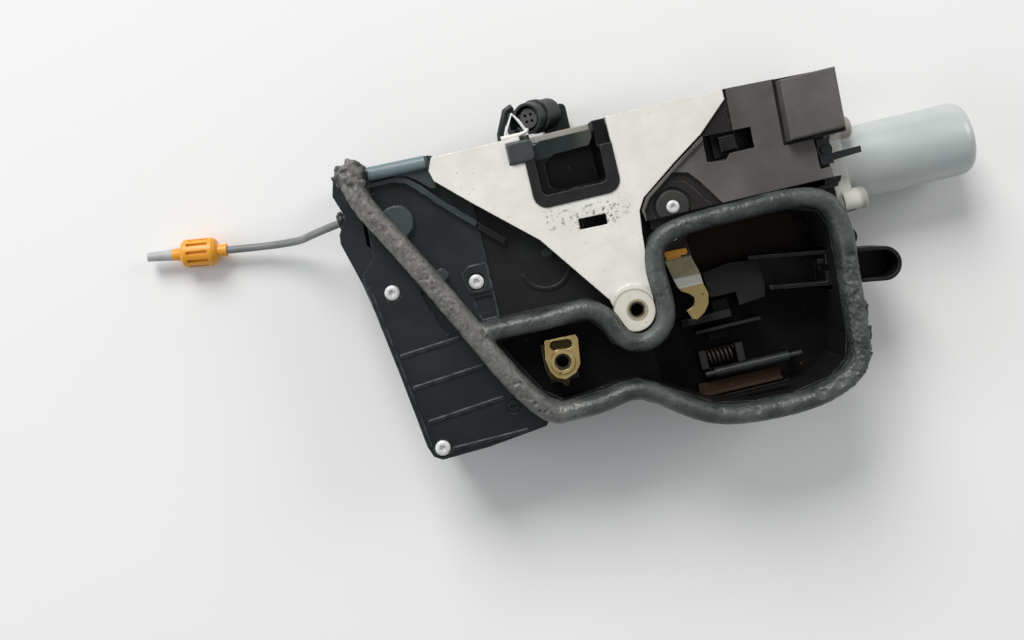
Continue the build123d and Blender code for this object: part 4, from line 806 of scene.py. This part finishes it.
def motorRing(bm, x, radius):
    count = motor["steps"] if radius else 1
    ring = []
    for k in range(count):
        angle = 2 * math.pi * k / count
        place = (x, motor["y"] + radius * math.cos(angle), motor["z"] + radius * math.sin(angle))
        ring.append(bm.verts.new([v * mm for v in place]))
    return ring


def addMotor():
    bm = bmesh.new()
    rings = [motorRing(bm, x, radius) for x, radius in motor["profile"]]
    for a, b in zip(rings, rings[1:]):
        joinRings(bm, a, b)
    bm.faces.new(rings[0])
    piece = layMesh("motorSkin", toMesh("motorSkin", bm), "motorGrey", motor["crease"])
    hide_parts("motor_can")


# the socket's frame and white spring, and the cream strap beside it: piece, finish, slot, radius, path
clip = {"roundness": 3,
        "bars": [("clipFrame", "satinBlack", "black_plastic", 1.3,
                  [(-33.4, 70.2, -12.4), (-33.0, 73.3, -12.4), (-29.4, 81.0, -12.4), (-26.6, 82.2, -12.8)]),
                 ("clipSpring", "whitePlastic", "cream_plastic", 0.55,
                  [(-31.3, 71.0, -11.6), (-31.1, 73.0, -11.6), (-27.4, 79.6, -11.6),
                   (-25.4, 76.6, -11.6), (-23.6, 72.4, -11.6), (-23.4, 70.3, -11.6)]),
                 ("creamStrap", "creamPlastic", "cream_plastic", 0.75,
                  [(-33.4, 70.9, -1.9), (-26.2, 70.8, -1.9), (-23.9, 71.3, -1.9), (-23.4, 72.4, -2.0)])]}


def addBars():
    for name, finishName, slot, radius, path in clip["bars"]:
        bar = layCurve(name, "POLY", path, radius, clip["roundness"])
        bar.data.use_fill_caps = True
        layMesh(name, settleMesh(name, bar), finishName)


addMotor()
addBars()
print("motor and clip laid")
addScrews()
for row in threads["holes"]:
    threadRidge(*row)
print("fasteners laid")


# the release cable
cable = {"route": [(-88.5, 57.1, -24), (-109.5, 54.12, -24), (-121, 52.35, -42.5), (-147.5, 56.1, -42.5)],
         "radius": 1.5, "roundness": 6, "smoothness": 24}


def addCable():
    sheath = layCurve("releaseCable", "NURBS", cable["route"], cable["radius"], cable["roundness"])
    sheath.data.resolution_u = cable["smoothness"]
    spline = sheath.data.splines[0]
    spline.order_u = 3
    spline.use_endpoint_u = True
    sheath.data.materials.append(finish["cableGrey"])
    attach(sheath, "base")
    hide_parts("release_cable")


addCable()
print("cable laid")
